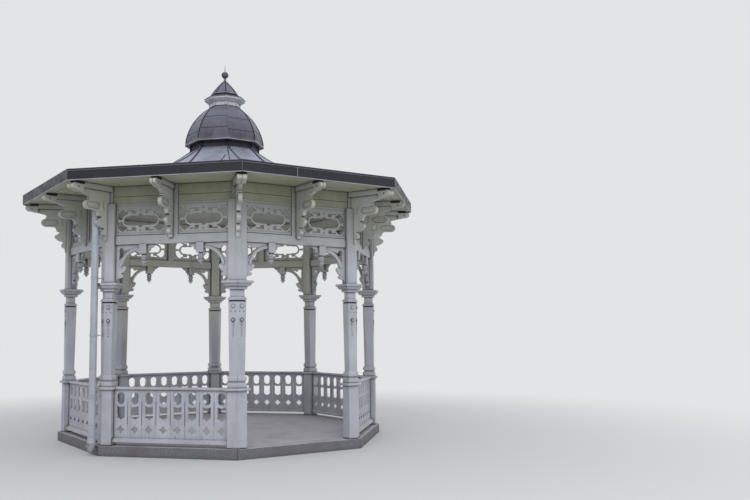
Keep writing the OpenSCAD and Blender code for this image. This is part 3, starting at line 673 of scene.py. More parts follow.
class Workshop:
    """The hand tools: primitives, edit-mode selections, copies and joins."""

    @staticmethod
    def clear() -> None:
        """Leaves nothing selected."""
        bpy.ops.object.select_all(action="DESELECT")

    @staticmethod
    def hold(piece: Piece) -> None:
        """Selects one piece alone and makes it active.

        Args:
            piece: The piece.
        """
        Workshop.clear()
        piece.select_set(True)
        bpy.context.view_layer.objects.active = piece

    @staticmethod
    @contextmanager
    def editing(piece: Piece) -> Iterator[None]:
        """Keeps a piece in edit mode for the length of a block, which starts with all of it selected.

        Args:
            piece: The piece.

        Returns:
            Nothing. The piece is open while the block runs.
        """
        Workshop.hold(piece)
        bpy.ops.object.mode_set(mode="EDIT")
        bpy.ops.mesh.select_all(action="SELECT")
        yield
        bpy.ops.object.mode_set(mode="OBJECT")

    @staticmethod
    def primitive(kind: Primitive, name: str, **settings: object) -> Piece:
        """Adds a mesh primitive, with its place in its mesh.

        Args:
            kind: Which primitive.
            name: The piece's name.
            settings: What the primitive's operator takes.

        Returns:
            The new piece, which alone is selected and active.
        """
        Workshop.clear()
        getattr(bpy.ops.mesh, kind.value)(**settings)
        made = bpy.context.active_object
        made.name = made.data.name = name
        bpy.ops.object.transform_apply(location=True, rotation=True, scale=True)
        return made

    @staticmethod
    def drill(place: Sequence[float], radius: float, depth: float, vertices: int = 32) -> Piece:
        """Makes a round or square tool that goes through boards facing the entrance.

        Args:
            place: Its middle.
            radius: Its radius, out to its corners.
            depth: Its length along Y.
            vertices: How many corners it has.

        Returns:
            The tool.
        """
        return Workshop.primitive(
            Primitive.CYLINDER, "drilled", vertices=vertices, radius=radius, depth=depth, location=place,
            rotation=FORWARD,
        )

    @staticmethod
    def bar(name: str, low: Sequence[float], high: Sequence[float], edge: float = 0.0) -> Piece:
        """Makes a squared bar between two corners.

        Args:
            name: The piece's name.
            low: Its lowest corner.
            high: Its highest corner.
            edge: Radius of its edges, or 0 for sharp ones.

        Returns:
            The bar.
        """
        size = [b - a for a, b in zip(low, high)]
        made = Workshop.primitive(Primitive.CUBE, name, size=1.0)
        with Workshop.editing(made):
            bpy.ops.transform.resize(value=size)
            bpy.ops.transform.translate(value=[(a + b) / 2 for a, b in zip(low, high)])
            if edge:
                bpy.ops.mesh.bevel(offset=edge, segments=2, affect="EDGES")
        return made

    @staticmethod
    def mitred(name: str, inner: float, outer: float, low: float, high: float, gap: float, edge: float = 0.0) -> Piece:
        """Makes a board across the entrance side, cut on the mitre at both corners.

        Args:
            name: The piece's name.
            inner: Distance of its inner face from the axis.
            outer: Distance of its outer face from the axis.
            low: Level of its underside.
            high: Level of its top.
            gap: Joint left between it and its neighbours.
            edge: Bevel of its edges, or 0 for sharp ones.

        Returns:
            The board.
        """
        reach = [apothem * math.tan(HALF_TURN) - gap / 2 for apothem in (inner, outer)]
        made = Workshop.bar(name, (-reach[0], -outer, low), (reach[0], -inner, high))
        with Workshop.editing(made):
            Workshop.select(made, OUTWARDS)
            bpy.ops.transform.resize(value=(reach[1] / reach[0], 1.0, 1.0), center_override=(0.0, 0.0, 0.0))
            if edge:
                bpy.ops.mesh.select_all(action="SELECT")
                bpy.ops.mesh.bevel(offset=edge, segments=1, affect="EDGES")
        return made

    @staticmethod
    def swept(
        name: str, points: Sequence[Vector], width: float, below: float, above: float, lay: Lay = Lay.OVER
    ) -> Piece:
        """Makes a strip that follows a line downwards and outwards over a roof.

        Args:
            name: The piece's name.
            points: The line on the roof, from its top.
            width: The strip's width.
            below: How deep it goes under the line.
            above: How far it stands over the line.
            lay: Whether it goes over a slope or up a steep side.

        Returns:
            The strip.
        """
        x, y, z = points[0]
        low, high = (x - width / 2, y - MM, z - below), (x + width / 2, y, z + above)
        if lay is Lay.UP:
            low, high = (x - width / 2, y - above, z - MM), (x + width / 2, y + below, z)
        made = Workshop.bar(name, low, high)
        with Workshop.editing(made):
            Workshop.select(made, DOWN if lay is Lay.UP else OUTWARDS)
            for start, end in zip(points, points[1:]):
                move = {"value": Vector(end) - Vector(start)}
                bpy.ops.mesh.extrude_region_move(TRANSFORM_OT_translate=move)
        return made

    @staticmethod
    def select(piece: Piece, direction: Triple) -> None:
        """Selects the faces that look in a direction.

        Args:
            piece: The piece, which is in edit mode.
            direction: The direction.
        """
        bpy.ops.mesh.select_all(action="DESELECT")
        wanted = Vector(direction)
        for face in bmesh.from_edit_mesh(piece.data).faces:
            if face.normal.dot(wanted) > ALIGNED:
                face.select_set(True)
        bmesh.update_edit_mesh(piece.data)

    @staticmethod
    def trim(piece: Piece, place: Sequence[float], normal: Sequence[float]) -> Piece:
        """Cuts off what lies beyond a plane and closes the cut.

        Args:
            piece: The piece.
            place: A point on the plane.
            normal: The side that is cut off.

        Returns:
            The same piece.
        """
        with Workshop.editing(piece):
            bpy.ops.mesh.bisect(plane_co=place, plane_no=normal, use_fill=True, clear_outer=True)
        return piece

    @staticmethod
    def apply(piece: Piece, kind: str, **settings: object) -> Piece:
        """Adds a modifier and applies it.

        Args:
            piece: The piece.
            kind: The modifier's Blender type.
            settings: Its attributes.

        Returns:
            The same piece.
        """
        Workshop.hold(piece)
        modifier = piece.modifiers.new(kind.lower(), kind)
        for key, value in settings.items():
            setattr(modifier, key, value)
        bpy.ops.object.modifier_apply(modifier=modifier.name)
        return piece

    @staticmethod
    def from_frame(node: str) -> Piece:
        """Copies a CAD node and merges the loose triangles of the copy.

        Args:
            node: The node.

        Returns:
            The copy, closed and ready to be cut.
        """
        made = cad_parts[node].copy()
        made.data = made.data.copy()
        bpy.context.scene.collection.objects.link(made)
        with Workshop.editing(made):
            bpy.ops.mesh.remove_doubles(threshold=MERGE)
            bpy.ops.mesh.customdata_custom_splitnormals_clear()
        return Workshop.smooth(made, 25.0)

    @staticmethod
    def cut(piece: Piece, tool: Piece) -> Piece:
        """Cuts a tool's shape out of a piece and removes the tool.

        Args:
            piece: The piece.
            tool: What is cut out of it.

        Returns:
            The same piece.
        """
        Workshop.apply(piece, "BOOLEAN", object=tool, operation="DIFFERENCE", solver="EXACT")
        bpy.data.objects.remove(tool)
        return piece

    @staticmethod
    def copies(piece: Piece, places: Iterable[Matrix]) -> list[Piece]:
        """Makes a copy of a piece at each place, each with its own mesh, and removes the pattern.

        Args:
            piece: The pattern.
            places: Where each copy goes.

        Returns:
            The copies.
        """
        made = []
        for place in places:
            twin = piece.copy()
            twin.data = piece.data.copy()
            twin.data.transform(place)
            if place.determinant() < 0:
                twin.data.flip_normals()
            bpy.context.scene.collection.objects.link(twin)
            made.append(twin)
        bpy.data.objects.remove(piece)
        return made

    @staticmethod
    def join(pieces: Sequence[Piece], name: str) -> Piece:
        """Joins pieces into one.

        Args:
            pieces: What is joined.
            name: The name of the whole.

        Returns:
            The joined piece, with its origin at the frame's.
        """
        Workshop.clear()
        for piece in pieces:
            piece.select_set(True)
        bpy.context.view_layer.objects.active = pieces[0]
        if len(pieces) > 1:
            bpy.ops.object.join()
        whole = bpy.context.active_object
        bpy.ops.object.transform_apply(location=True, rotation=True, scale=True)
        whole.name = whole.data.name = name
        return whole

    @staticmethod
    def array(piece: Piece, name: str, places: Iterable[Matrix]) -> Piece:
        """Copies a piece to each place and joins the copies under a name."""
        return Workshop.join(Workshop.copies(piece, places), name)

    @staticmethod
    def smooth(piece: Piece, degrees: float = 35.0) -> Piece:
        """Shades a round piece smooth, but for edges sharper than some degrees.

        Args:
            piece: The piece.
            degrees: The sharpest edge that is still shaded smooth.

        Returns:
            The same piece.
        """
        Workshop.hold(piece)
        bpy.ops.object.shade_smooth_by_angle(angle=math.radians(degrees))
        return piece


def sides() -> list[Matrix]:
    """Returns the turns that take a piece from the entrance side to each side."""
    return [Matrix.Rotation(TURN * i, 4, "Z") for i in range(SIDES)]


def half_sides() -> list[Matrix]:
    """Returns the turns to each side, each followed by its mirror image."""
    return [turn @ hand for turn in sides() for hand in (Matrix(), MIRROR)]


def pairs(distance: float) -> list[Matrix]:
    """Returns the places some way left and right of the middle of each side."""
    return [turn @ Matrix.Translation((hand * distance, 0.0, 0.0)) for turn in sides() for hand in (-1, 1)]


def corners() -> list[Matrix]:
    """Returns the turns that take a piece made towards -Y to each corner."""
    return [Matrix.Rotation(TURN * i - HALF_TURN, 4, "Z") for i in range(SIDES)]


def outer_line(node: str) -> list[tuple[float, float]]:
    """Reads a roof node's outline at its corners.

    Args:
        node: The CAD node.

    Returns:
        Its points from the top down, as (corner radius, height).
    """
    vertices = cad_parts[node].data.vertices
    found = sorted({(round(v.co.z, 5), round(math.hypot(v.co.x, v.co.y), 5)) for v in vertices})
    line: list[tuple[float, float]] = []
    for height, radius in reversed(found):
        if not line or radius > line[-1][0] + 1e-4:
            if line and abs(line[-1][1] - height) < 1e-4:
                line.pop()
            line.append((radius, height))
    return line


def radius_at(line: Outline, level: float) -> float:
    """Returns the corner radius of an outline at a level.

    Args:
        line: The outline.
        level: The level.

    Returns:
        The radius.
    """
    for (r1, z1), (r0, z0) in zip(line, line[1:]):
        if z0 <= level <= z1:
            return r0 + (r1 - r0) * (level - z0) / (z1 - z0)
    return line[-1][0]


def height_at(line: Outline, radius: float) -> float:
    """Returns the height of an outline at a corner radius.

    Args:
        line: The outline.
        radius: The corner radius.

    Returns:
        The height.
    """
    for (r1, z1), (r0, z0) in zip(line, line[1:]):
        if r1 <= radius <= r0:
            return z1 + (z0 - z1) * (radius - r1) / (r0 - r1)
    return line[-1][1]


def towards_front(line: Outline) -> list[Vector]:
    """Returns an outline as points over the -Y direction."""
    return [Vector((0.0, -radius, height)) for radius, height in line]


def dress(piece: Piece, finish: Material) -> None:
    """Gives a piece its only material."""
    piece.data.materials.clear()
    piece.data.materials.append(finish)


def seat(piece: Piece, finish: Material, replaced: Sequence[str] = ()) -> Piece:
    """Dresses a finished piece and hands it to the frame.

    Args:
        piece: The piece, in its place.
        finish: Its material.
        replaced: CAD nodes that it stands for.

    Returns:
        The same piece.
    """
    dress(piece, finish)
    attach(piece, BODY)
    if replaced:
        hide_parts(*replaced)
    LOG.info("%s: %d faces", piece.name, len(piece.data.polygons))
    return piece


@dataclass
class SoffitBoarding:
    """Boards nailed along the eaves on the underside of the roof, mitred at the corners."""

    boards: int = 5
    gap: float = 4 * MM
    thickness: float = 18 * MM
    edge: float = 3 * MM

    def build(self, finish: Material) -> Piece:
        """Builds the boards in place of the plain soffit.

        Args:
            finish: The boards' paint.

        Returns:
            The boards.
        """
        low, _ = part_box("soffit")
        inner = -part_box("ceiling")[0].y
        width = (-low.y - inner) / self.boards
        top = low.z + self.thickness
        made = []
        for i in range(self.boards):
            near, far = inner + i * width + self.gap / 2, inner + (i + 1) * width - self.gap / 2
            made.append(Workshop.mitred("soffit_board", near, far, low.z, top, self.gap, self.edge))
        side = Workshop.join(made, "soffit_side")
        return seat(Workshop.array(side, "soffit_boards", sides()), finish, ["soffit"])


@dataclass
class CeilingBoarding:
    """Boards under the roof space, all one way, as seen from inside."""

    pitch: float = 0.16
    gap: float = 5 * MM
    edge: float = 4 * MM

    def build(self, finish: Material) -> Piece:
        """Builds the boards in place of the plain ceiling.

        Args:
            finish: The boards' paint.

        Returns:
            The boards.
        """
        low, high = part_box("ceiling")
        apothem = high.y
        half_side = apothem * math.tan(HALF_TURN)
        rows = math.ceil(2 * apothem / self.pitch)
        pitch = 2 * apothem / rows
        made = []
        for i in range(rows):
            near, far = -apothem + i * pitch + self.gap / 2, -apothem + (i + 1) * pitch - self.gap / 2
            reach = min(apothem, half_side + apothem - max(abs(near), abs(far)))
            made.append(Workshop.bar("ceiling_board", (-reach, near, low.z), (reach, far, high.z), self.edge))
        return seat(Workshop.join(made, "ceiling_boards"), finish, ["ceiling"])


@dataclass
class BandBoards:
    """The band over the posts: two wide boards a side behind a strip over the middle and one at each corner."""

    setback: float = 14 * MM
    joint_height: float = 0.112
    gap: float = 4 * MM
    edge: float = 3 * MM
    strip_width: float = 0.206
    corner_strip: float = 0.085
    thickness: float = 0.1
    mitre_gap: float = MM
    strip_edge: float = 2 * MM

    def build(self, finish: Material, strip_finish: Material) -> list[Piece]:
        """Builds boards and strips in place of the plain band.

        Args:
            finish: The boards' paint.
            strip_finish: The strips' paint.

        Returns:
            The boards and the strips.
        """
        low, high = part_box("eaves_band")
        outer = -low.y
        inner = outer - self.thickness
        joint = low.z + self.joint_height
        face = outer - self.setback
        boards = [
            Workshop.mitred("band_board", inner, face, low.z, joint - self.gap / 2, self.mitre_gap, self.edge),
            Workshop.mitred("band_board", inner, face, joint + self.gap / 2, high.z, self.mitre_gap, self.edge),
        ]
        side = Workshop.join(boards, "band_side")
        band = seat(Workshop.array(side, "band_boards", sides()), finish, ["eaves_band"])
        return [band, self.strips(face, outer, low.z, high.z, strip_finish)]

    def strips(self, back: float, front: float, low: float, high: float, finish: Material) -> Piece:
        """Builds the strips that stand over the boards' joints.

        Args:
            back: Distance of the boards' face from the axis.
            front: Distance of the strips' face from the axis.
            low: Level of their foot.
            high: Level of their head.
            finish: Their paint.

        Returns:
            The strips.
        """
        half = self.strip_width / 2
        middle = Workshop.bar("band_strip", (-half, -front, low), (half, -back + MM, high), self.strip_edge)
        corner = front * math.tan(HALF_TURN)
        left = Workshop.bar("corner_strip", (-corner, -front, low), (-corner + self.corner_strip, -back + MM, high))
        made = Workshop.copies(middle, sides()) + Workshop.copies(left, half_sides())
        return seat(Workshop.join(made, "band_strips"), finish)


@dataclass
class FretworkPanels:
    """Two sawn boards a bay with the strip and stud between them. Each board has a long cartouche, four
    openings round its ends, four keys and ten drilled dots. Sizes are about the middle of a board."""

    strip_width: float = 0.206
    strip_thickness: float = 20 * MM
    stud_width: float = 0.120
    stud_thickness: float = 46 * MM
    thickness: float = 24 * MM
    drop: float = 14 * MM
    end: float = 0.208
    end_radius: float = 72 * MM
    rib: float = 28 * MM
    lobe: tuple[float, float] = (74 * MM, 34 * MM)
    opening: tuple[float, float, float] = (0.252, 40 * MM, 0.143)
    keys: tuple[tuple[float, float, float, float], ...] = ((0.080, 0.144, 0.224, 0.162), (0.080, 0.106, 0.140, 0.150))
    dots: tuple[tuple[float, float], ...] = ((0.365, 0.172), (0.0, 0.158), (0.386, 0.0))
    dot: float = 11 * MM
    flat_inset: float = 4 * MM
    shoulder: tuple[float, float] = (50 * MM, 6 * MM)
    opening_sides: tuple[tuple[float, float, Triple], ...] = (
        (0.296, 0.172, (-69.0, 0.0, 102.0)), (0.312, 13 * MM, (12.0, 0.0, -77.0)), (0.213, 0.112, (-1.0, 0.0, -1.0)),
    )
    overshoot: float = 30 * MM
    edge: float = 2 * MM

    def __post_init__(self) -> None:
        """Reads where the board on the right of a bay stands."""
        low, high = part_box("fretwork_3")
        self.front: float = high.x - self.strip_thickness
        self.back: float = self.front - self.thickness
        self.middle_x: float = (high.y + self.strip_width / 2) / 2
        self.middle_z: float = (low.z + high.z) / 2 - self.drop

    def build(self, finish: Material) -> Piece:
        """Builds the sixteen boards with their strips and studs in place of the plain fretwork.

        Args:
            finish: The timber's paint.

        Returns:
            The panels.
        """
        low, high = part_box("fretwork_3")
        board = Workshop.bar("fret_board", (0.0, -self.front, low.z), (high.y, -self.back, high.z))
        for tool in self.saw_cuts():
            Workshop.cut(board, tool)
        made = Workshop.copies(board, half_sides())
        half = self.strip_width / 2
        strip = Workshop.bar("fret_strip", (-half, -high.x, low.z), (half, -self.front, high.z), self.edge)
        stud = Workshop.bar(
            "fret_stud", (-self.stud_width / 2, -self.back, low.z),
            (self.stud_width / 2, -self.back + self.stud_thickness, high.z),
        )
        made += Workshop.copies(Workshop.join([strip, stud], "fret_mullion"), sides())
        nodes = [f"fretwork_{bay + 1}" for bay in range(SIDES)]
        return seat(Workshop.join(made, "fretwork_panels"), finish, nodes)

    def saw_cuts(self) -> list[Piece]:
        """Makes the shapes that are cut out of the right-hand board.

        Returns:
            The tools, in the order of the cuts.
        """
        reach, flat = self.end, self.end_radius - self.flat_inset
        inset, rise = self.shoulder
        half = self.end_radius + rise
        tools = [self.block(-reach, -flat, reach, flat), self.block(inset - reach, -half, reach - inset, half)]
        for side in (-1, 1):
            tools.append(self.round(side * reach, 0.0, self.end_radius))
            tools.append(self.round(0.0, side * self.lobe[0], self.lobe[1]))
        hands = self.quarters()
        tools += Workshop.copies(self.end_opening(), hands)
        for key in self.keys:
            tools += Workshop.copies(self.block(*key), hands)
        for x, z in self.dots:
            for hand in hands[: 4 if x and z else 2] if x or not z else hands[:1] + hands[2:3]:
                tools += Workshop.copies(self.round(x, z, self.dot), [hand])
        return tools

    def quarters(self) -> list[Matrix]:
        """Returns the mirrorings about the board's middle: as it is, left, down, and both.

        Returns:
            The four mirrorings.
        """
        to_middle = Matrix.Translation((self.middle_x, 0.0, self.middle_z))
        made = []
        for z, x in ((1, 1), (1, -1), (-1, 1), (-1, -1)):
            made.append(to_middle @ Matrix.Diagonal((x, 1.0, z, 1.0)) @ to_middle.inverted())
        return made

    def block(self, left: float, low: float, right: float, high: float) -> Piece:
        """Makes a square-cornered tool through the board.

        Args:
            left: Its left side, from the board's middle.
            low: Its foot, from the board's middle.
            right: Its right side.
            high: Its head.

        Returns:
            The tool.
        """
        x, z = self.middle_x, self.middle_z
        near, far = self.overshoot - self.back, self.overshoot + self.front
        return Workshop.bar("saw_cut", (x + left, -far, z + low), (x + right, near, z + high))

    def round(self, x: float, z: float, radius: float) -> Piece:
        """Makes a round tool through the board."""
        place = (self.middle_x + x, -(self.front + self.back) / 2, self.middle_z + z)
        return Workshop.drill(place, radius, self.thickness + 2 * self.overshoot)

    def end_opening(self) -> Piece:
        """Makes the tool for the opening over the cartouche's right end, which keeps a rib round that end.

        Returns:
            The tool.
        """
        made = self.round(*self.opening)
        for x, z, normal in self.opening_sides:
            Workshop.trim(made, (self.middle_x + x, 0.0, self.middle_z + z), Vector(normal).normalized())
        return Workshop.cut(made, self.round(self.end, 0.0, self.end_radius + self.rib))


@dataclass
class FriezeLaths:
    """Laths along the head and foot of the sawn panels, between the posts and the strip over each bay."""

    height: float = 30 * MM
    proud: float = 6 * MM
    edge: float = 2 * MM
    panel_setback: float = 20 * MM
    post_width: float = 0.150
    strip_width: float = 0.206
    # Height and standout of the black strip on the beam, a painted shadow gap
    joint: float = 8 * MM
    shadow_strip_proud: float = 2 * MM
    post_face: float = 42 * MM

    def build(self, finish: Material, shade_black: Material) -> list[Piece]:
        """Builds two laths for each panel, and a black strip between the lower one and the beam as a painted shadow
        gap.

        Args:
            finish: The laths' paint.
            shade_black: The black of the painted shadow strip.

        Returns:
            The laths and the black strips.
        """
        low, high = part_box("fretwork_3")
        face = high.x
        wall = face - self.panel_setback
        near = self.strip_width / 2
        far = (face + self.post_face) * math.tan(HALF_TURN) - self.post_width - MM
        made = []
        for foot in (low.z + self.joint, high.z - self.height):
            start, end = (near, -wall - self.proud, foot), (far, -wall, foot + self.height)
            made += Workshop.copies(Workshop.bar("frieze_lath", start, end, self.edge), half_sides())
        start, end = (near, -wall - self.shadow_strip_proud, low.z), (far, -wall, low.z + self.joint)
        joints = Workshop.array(Workshop.bar("frieze_shadow_strip", start, end), "frieze_shadow_strips", half_sides())
        return [
            seat(Workshop.join(made, "frieze_laths"), finish),
            seat(joints, shade_black),
        ]


@dataclass
class FasciaSheets:
    """Folded sheet round the eaves: two lengths a side with a lap, and a beaded foot. The lap is black as painted
    shadow on every second side and pale as painted highlight on the others."""

    setback: float = 4 * MM
    lap_width: float = 7 * MM
    lap_place: float = 0.45
    bead: float = 15 * MM
    head: float = 5 * MM
    gap: float = 1.5 * MM
    thickness: float = 26 * MM
    bead_inset: float = 6 * MM
    bead_edge: float = 5 * MM
    head_edge: float = 2 * MM

    def build(self, finish: Material, edge: Material, seam: Material) -> list[Piece]:
        """Builds the sheets in place of the plain fascia, their brighter edges with the pale laps of painted
        highlight, and the black laps of painted shadow.

        Args:
            finish: The sheets' coat.
            edge: The finish of their folded edges and of the pale laps.
            seam: The black of the laps painted as shadow.

        Returns:
            The sheets, their edges with the pale laps, and the black laps.
        """
        low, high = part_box("fascia")
        outer = -low.y
        inner = outer - self.thickness
        face = outer - self.setback
        foot = low.z + self.bead
        sheet = Workshop.mitred("fascia_sheet", inner, face, foot, high.z, self.gap, MM)
        # One lap, pale as painted highlight on every second side and black as painted shadow on the sides between
        light = self.lap(-self.lap_place, face, outer - MM, foot, high.z)
        dark = self.lap(self.lap_place, face, outer - MM, foot, high.z)
        ends = [self.lap(x, face, outer - MM, foot, high.z) for x in (-self.corner(face), self.corner(face))]
        sheets = Workshop.array(sheet, "fascia_sheets", sides())
        back = inner + self.bead_inset
        bead = Workshop.mitred("fascia_bead", back, outer, low.z, foot, self.gap, self.bead_edge)
        fold = Workshop.mitred("fascia_fold", inner, outer, high.z - self.head, high.z, self.gap, self.head_edge)
        edges = Workshop.join([bead, fold, *ends], "fascia_edges")
        whole = Workshop.copies(edges, sides()) + Workshop.copies(light, sides()[::2])
        return [
            seat(sheets, finish, ["fascia"]),
            seat(Workshop.join(whole, "fascia_edges"), edge),
            seat(Workshop.array(dark, "fascia_lap_shadows", sides()[1::2]), seam),
        ]

    def corner(self, apothem: float) -> float:
        """Returns where the lap beside a corner stands."""
        return apothem * math.tan(HALF_TURN) - self.lap_width / 8

    def lap(self, x: float, back: float, front: float, foot: float, head: float) -> Piece:
        """Makes the upright lap of two sheets."""
        half = self.lap_width / 2 if abs(x) < 1.0 else self.lap_width / 8
        return Workshop.bar("fascia_lap", (x - half, -front, foot), (x + half, -back + MM, head - self.head), MM)


@dataclass
class RoofSeams:
    """Seams of the roof: two wide folds straight down each side from the neck's corners, dark as painted shade
    with a bright edge as painted highlight, thin dark folds on the hips and up the low slopes. One wide fold is
    missing left of the front corner, where a short branch is."""

    width: float = 32 * MM
    height: float = 7 * MM
    edge_width: float = 7 * MM
    edge_height: float = 11 * MM
    depth: float = 12 * MM
    fold: float = 11 * MM
    fold_height: float = 5 * MM
    slope_height: float = 2 * MM
    slope_gap: float = 0.04
    offsets: tuple[float, ...] = (0.239, 0.81)
    plain_corner: int = 0
    branch: tuple[tuple[float, float], ...] = ((0.98, 0.06), (1.14, 0.11), (1.30, 0.17))

    def build(self, finish: Material, edge_highlight: Material) -> list[Piece]:
        """Builds the folds in one finish, dark for painted shade, and the bright edges in another, pale for painted
        highlight.

        Args:
            finish: The folds' finish.
            edge_highlight: The finish of the turned-up edges, pale for painted highlight.

        Returns:
            The folds and the edges.
        """
        low_roof, sweep = outer_line("roof"), outer_line("roof_sweep")
        foot = low_roof[-1][0] - self.slope_gap
        hip = towards_front([low_roof[0], (foot, height_at(low_roof, foot))])
        straight = self.straight_line(sweep)
        places = half_sides()
        places.pop(2 * (self.plain_corner - 1) + 1)
        folds = Workshop.copies(self.strip(straight, self.width, self.height), places)
        edges = Workshop.copies(self.bright_edge(straight), places)
        folds += Workshop.copies(self.strip(towards_front(sweep), self.fold, self.fold_height), corners())
        folds += Workshop.copies(self.strip(hip, self.fold, self.slope_height), corners())
        branch = self.strip(self.branch_line(sweep), self.fold, self.fold_height)
        folds += Workshop.copies(branch, [sides()[self.plain_corner - 1]])
        for offset in self.offsets:
            line = self.slope_line(low_roof, offset)
            folds += Workshop.copies(self.strip(line, self.fold, self.slope_height), pairs(offset))
        return [
            seat(Workshop.join(folds, "roof_seams"), finish),
            seat(Workshop.join(edges, "roof_seam_edges"), edge_highlight),
        ]

    def strip(self, line: Sequence[Vector], width: float, height: float) -> Piece:
        """Makes a fold along a line."""
        return Workshop.swept("fold", line, width, self.depth, height)

    def bright_edge(self, line: Sequence[Vector]) -> Piece:
        """Makes the turned-up edge on the left of a wide fold."""
        aside = Vector((-(self.width - self.edge_width) / 2, 0.0, 0.0))
        return Workshop.swept("edge", [point + aside for point in line], self.edge_width, self.depth, self.edge_height)

    @staticmethod
    def straight_line(sweep: Outline) -> list[Vector]:
        """Returns the line of a wide fold, from a corner of the neck straight down the entrance side."""
        x = -sweep[0][0] * math.sin(HALF_TURN)
        return [Vector((x, -radius * math.cos(HALF_TURN), height)) for radius, height in sweep]

    def branch_line(self, sweep: Outline) -> list[Vector]:
        """Returns the short fold beside the plain corner, on the side before it.

        Args:
            sweep: The sweep's outline.

        Returns:
            The line's points from the top.
        """
        made = []
        for radius, back in self.branch:
            x = radius * math.sin(HALF_TURN) - back
            made.append(Vector((x, -radius * math.cos(HALF_TURN), height_at(sweep, radius))))
        return made

    def slope_line(self, roof: Outline, offset: float) -> list[Vector]:
        """Returns the line of a seam up the entrance side's low slope.

        Args:
            roof: The low slope's outline.
            offset: How far the seam is from the side's middle.

        Returns:
            The line's head and foot.
        """
        cos = math.cos(HALF_TURN)
        head = max(roof[0][0], offset / math.sin(HALF_TURN))
        foot = roof[-1][0] - self.slope_gap
        return [Vector((0.0, -radius * cos, height_at(roof, radius))) for radius in (head, foot)]


@dataclass
class NeckRibs:
    """Paired upstands on the corners of the short neck under the dome, where the hips' seams end."""

    width: float = 8 * MM
    proud: float = 14 * MM
    spread: float = 19 * MM

    def build(self, finish: Material) -> Piece:
        """Builds a pair on every corner.

        Args:
            finish: The upstands' finish.

        Returns:
            The upstands.
        """
        low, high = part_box("roof_neck")
        radius = outer_line("roof_neck")[-1][0]
        made = []
        for hand in (-1, 1):
            x = hand * self.spread
            line = [Vector((x, -radius, high.z)), Vector((x, -radius, low.z))]
            rib = Workshop.swept("neck_rib", line, self.width, 2 * self.proud, self.proud, Lay.UP)
            made += Workshop.copies(rib, corners())
        return seat(Workshop.join(made, "neck_ribs"), finish)


@dataclass
class DomeTrim:
    """Folded trim of the dome: a rib on each corner, two laps a side at staggered heights, and a bead on its
    rim with a cap at each corner. Ribs and laps are dark as painted shade, the bead and its caps pale as
    painted highlight."""

    rib_width: float = 14 * MM
    rib_height: float = 9 * MM
    laps: tuple[float, ...] = (0.23, 0.575)
    stagger: float = 0.03
    lap_height: float = 7 * MM
    lap_proud: float = 3 * MM
    bead: float = 22 * MM
    bead_foot: float = 9 * MM
    plain_corner: int = 0
    cap: float = 30 * MM
    cap_depth: tuple[float, float] = (4 * MM, 14 * MM)
    bead_depth: tuple[float, float] = (8 * MM, 3 * MM)
    lap_depth: float = 12 * MM
    bead_gap: float = 0.5 * MM
    bead_edge: float = 2 * MM
    cap_edge: float = 3 * MM

    def build(
        self, finish: Material, bead_highlight: Material, sheet: Material
    ) -> list[Piece]:
        """Builds the ribs and laps, the bead in its own finish and the plain corner's rib in the dome's.

        Args:
            finish: The ribs' and laps' finish, dark for painted shade.
            bead_highlight: The rim bead's finish, pale for painted highlight.
            sheet: The dome's own finish.

        Returns:
            The trim, the plain corner's rib and the rim bead.
        """
        rim_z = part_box("dome")[0].z
        whole = outer_line("dome")
        line = [point for point in whole if point[1] > rim_z + self.bead + MM]
        ribs = Workshop.swept("rib", towards_front(line), self.rib_width, self.rib_height, self.rib_height, Lay.UP)
        made = Workshop.copies(ribs, corners())
        # The plain corner's rib keeps the dome's own colour, without the painted shade of the others
        plain = seat(made.pop(self.plain_corner), sheet)
        plain.name = plain.data.name = "dome_rib_plain"
        foot, head = line[-1][1], line[0][1]
        for side, turn in enumerate(sides()):
            for share in self.laps:
                level = foot + (share + (self.stagger if side % 2 else -self.stagger)) * (head - foot)
                made += Workshop.copies(self.lap(line, level), [turn])
        trim = seat(Workshop.join(made, "dome_trim"), finish)
        reach = whole[-1][0] * math.cos(HALF_TURN)
        low = rim_z + self.bead_foot
        behind, before = self.bead_depth
        top = rim_z + self.bead
        near, far = reach - behind, reach + before
        edge = Workshop.mitred("rim_bead", near, far, low, top, self.bead_gap, self.bead_edge)
        before, behind = self.cap_depth
        half, corner = self.cap / 2, -whole[-1][0]
        caps = Workshop.bar("rim_cap", (-half, corner - before, low), (half, corner + behind, top + MM), self.cap_edge)
        rim = Workshop.join([*Workshop.copies(edge, sides()), *Workshop.copies(caps, corners())], "dome_rim_bead")
        return [trim, plain, seat(rim, bead_highlight)]

    def lap(self, line: Outline, level: float) -> Piece:
        """Makes the lap of two sheets across the entrance side of the dome at a level.

        Args:
            line: The dome's outline.
            level: The height of the lap's middle.

        Returns:
            The lap.
        """
        cos = math.cos(HALF_TURN)
        low, high = level - self.lap_height / 2, level + self.lap_height / 2
        foot, head = radius_at(line, low) * cos, radius_at(line, high) * cos
        made = Workshop.mitred("lap", head - self.lap_depth, foot + self.lap_proud, low, high, MM)
        with Workshop.editing(made):
            Workshop.select(made, UP)
            bpy.ops.transform.translate(value=(0.0, foot - head, 0.0))
        return made


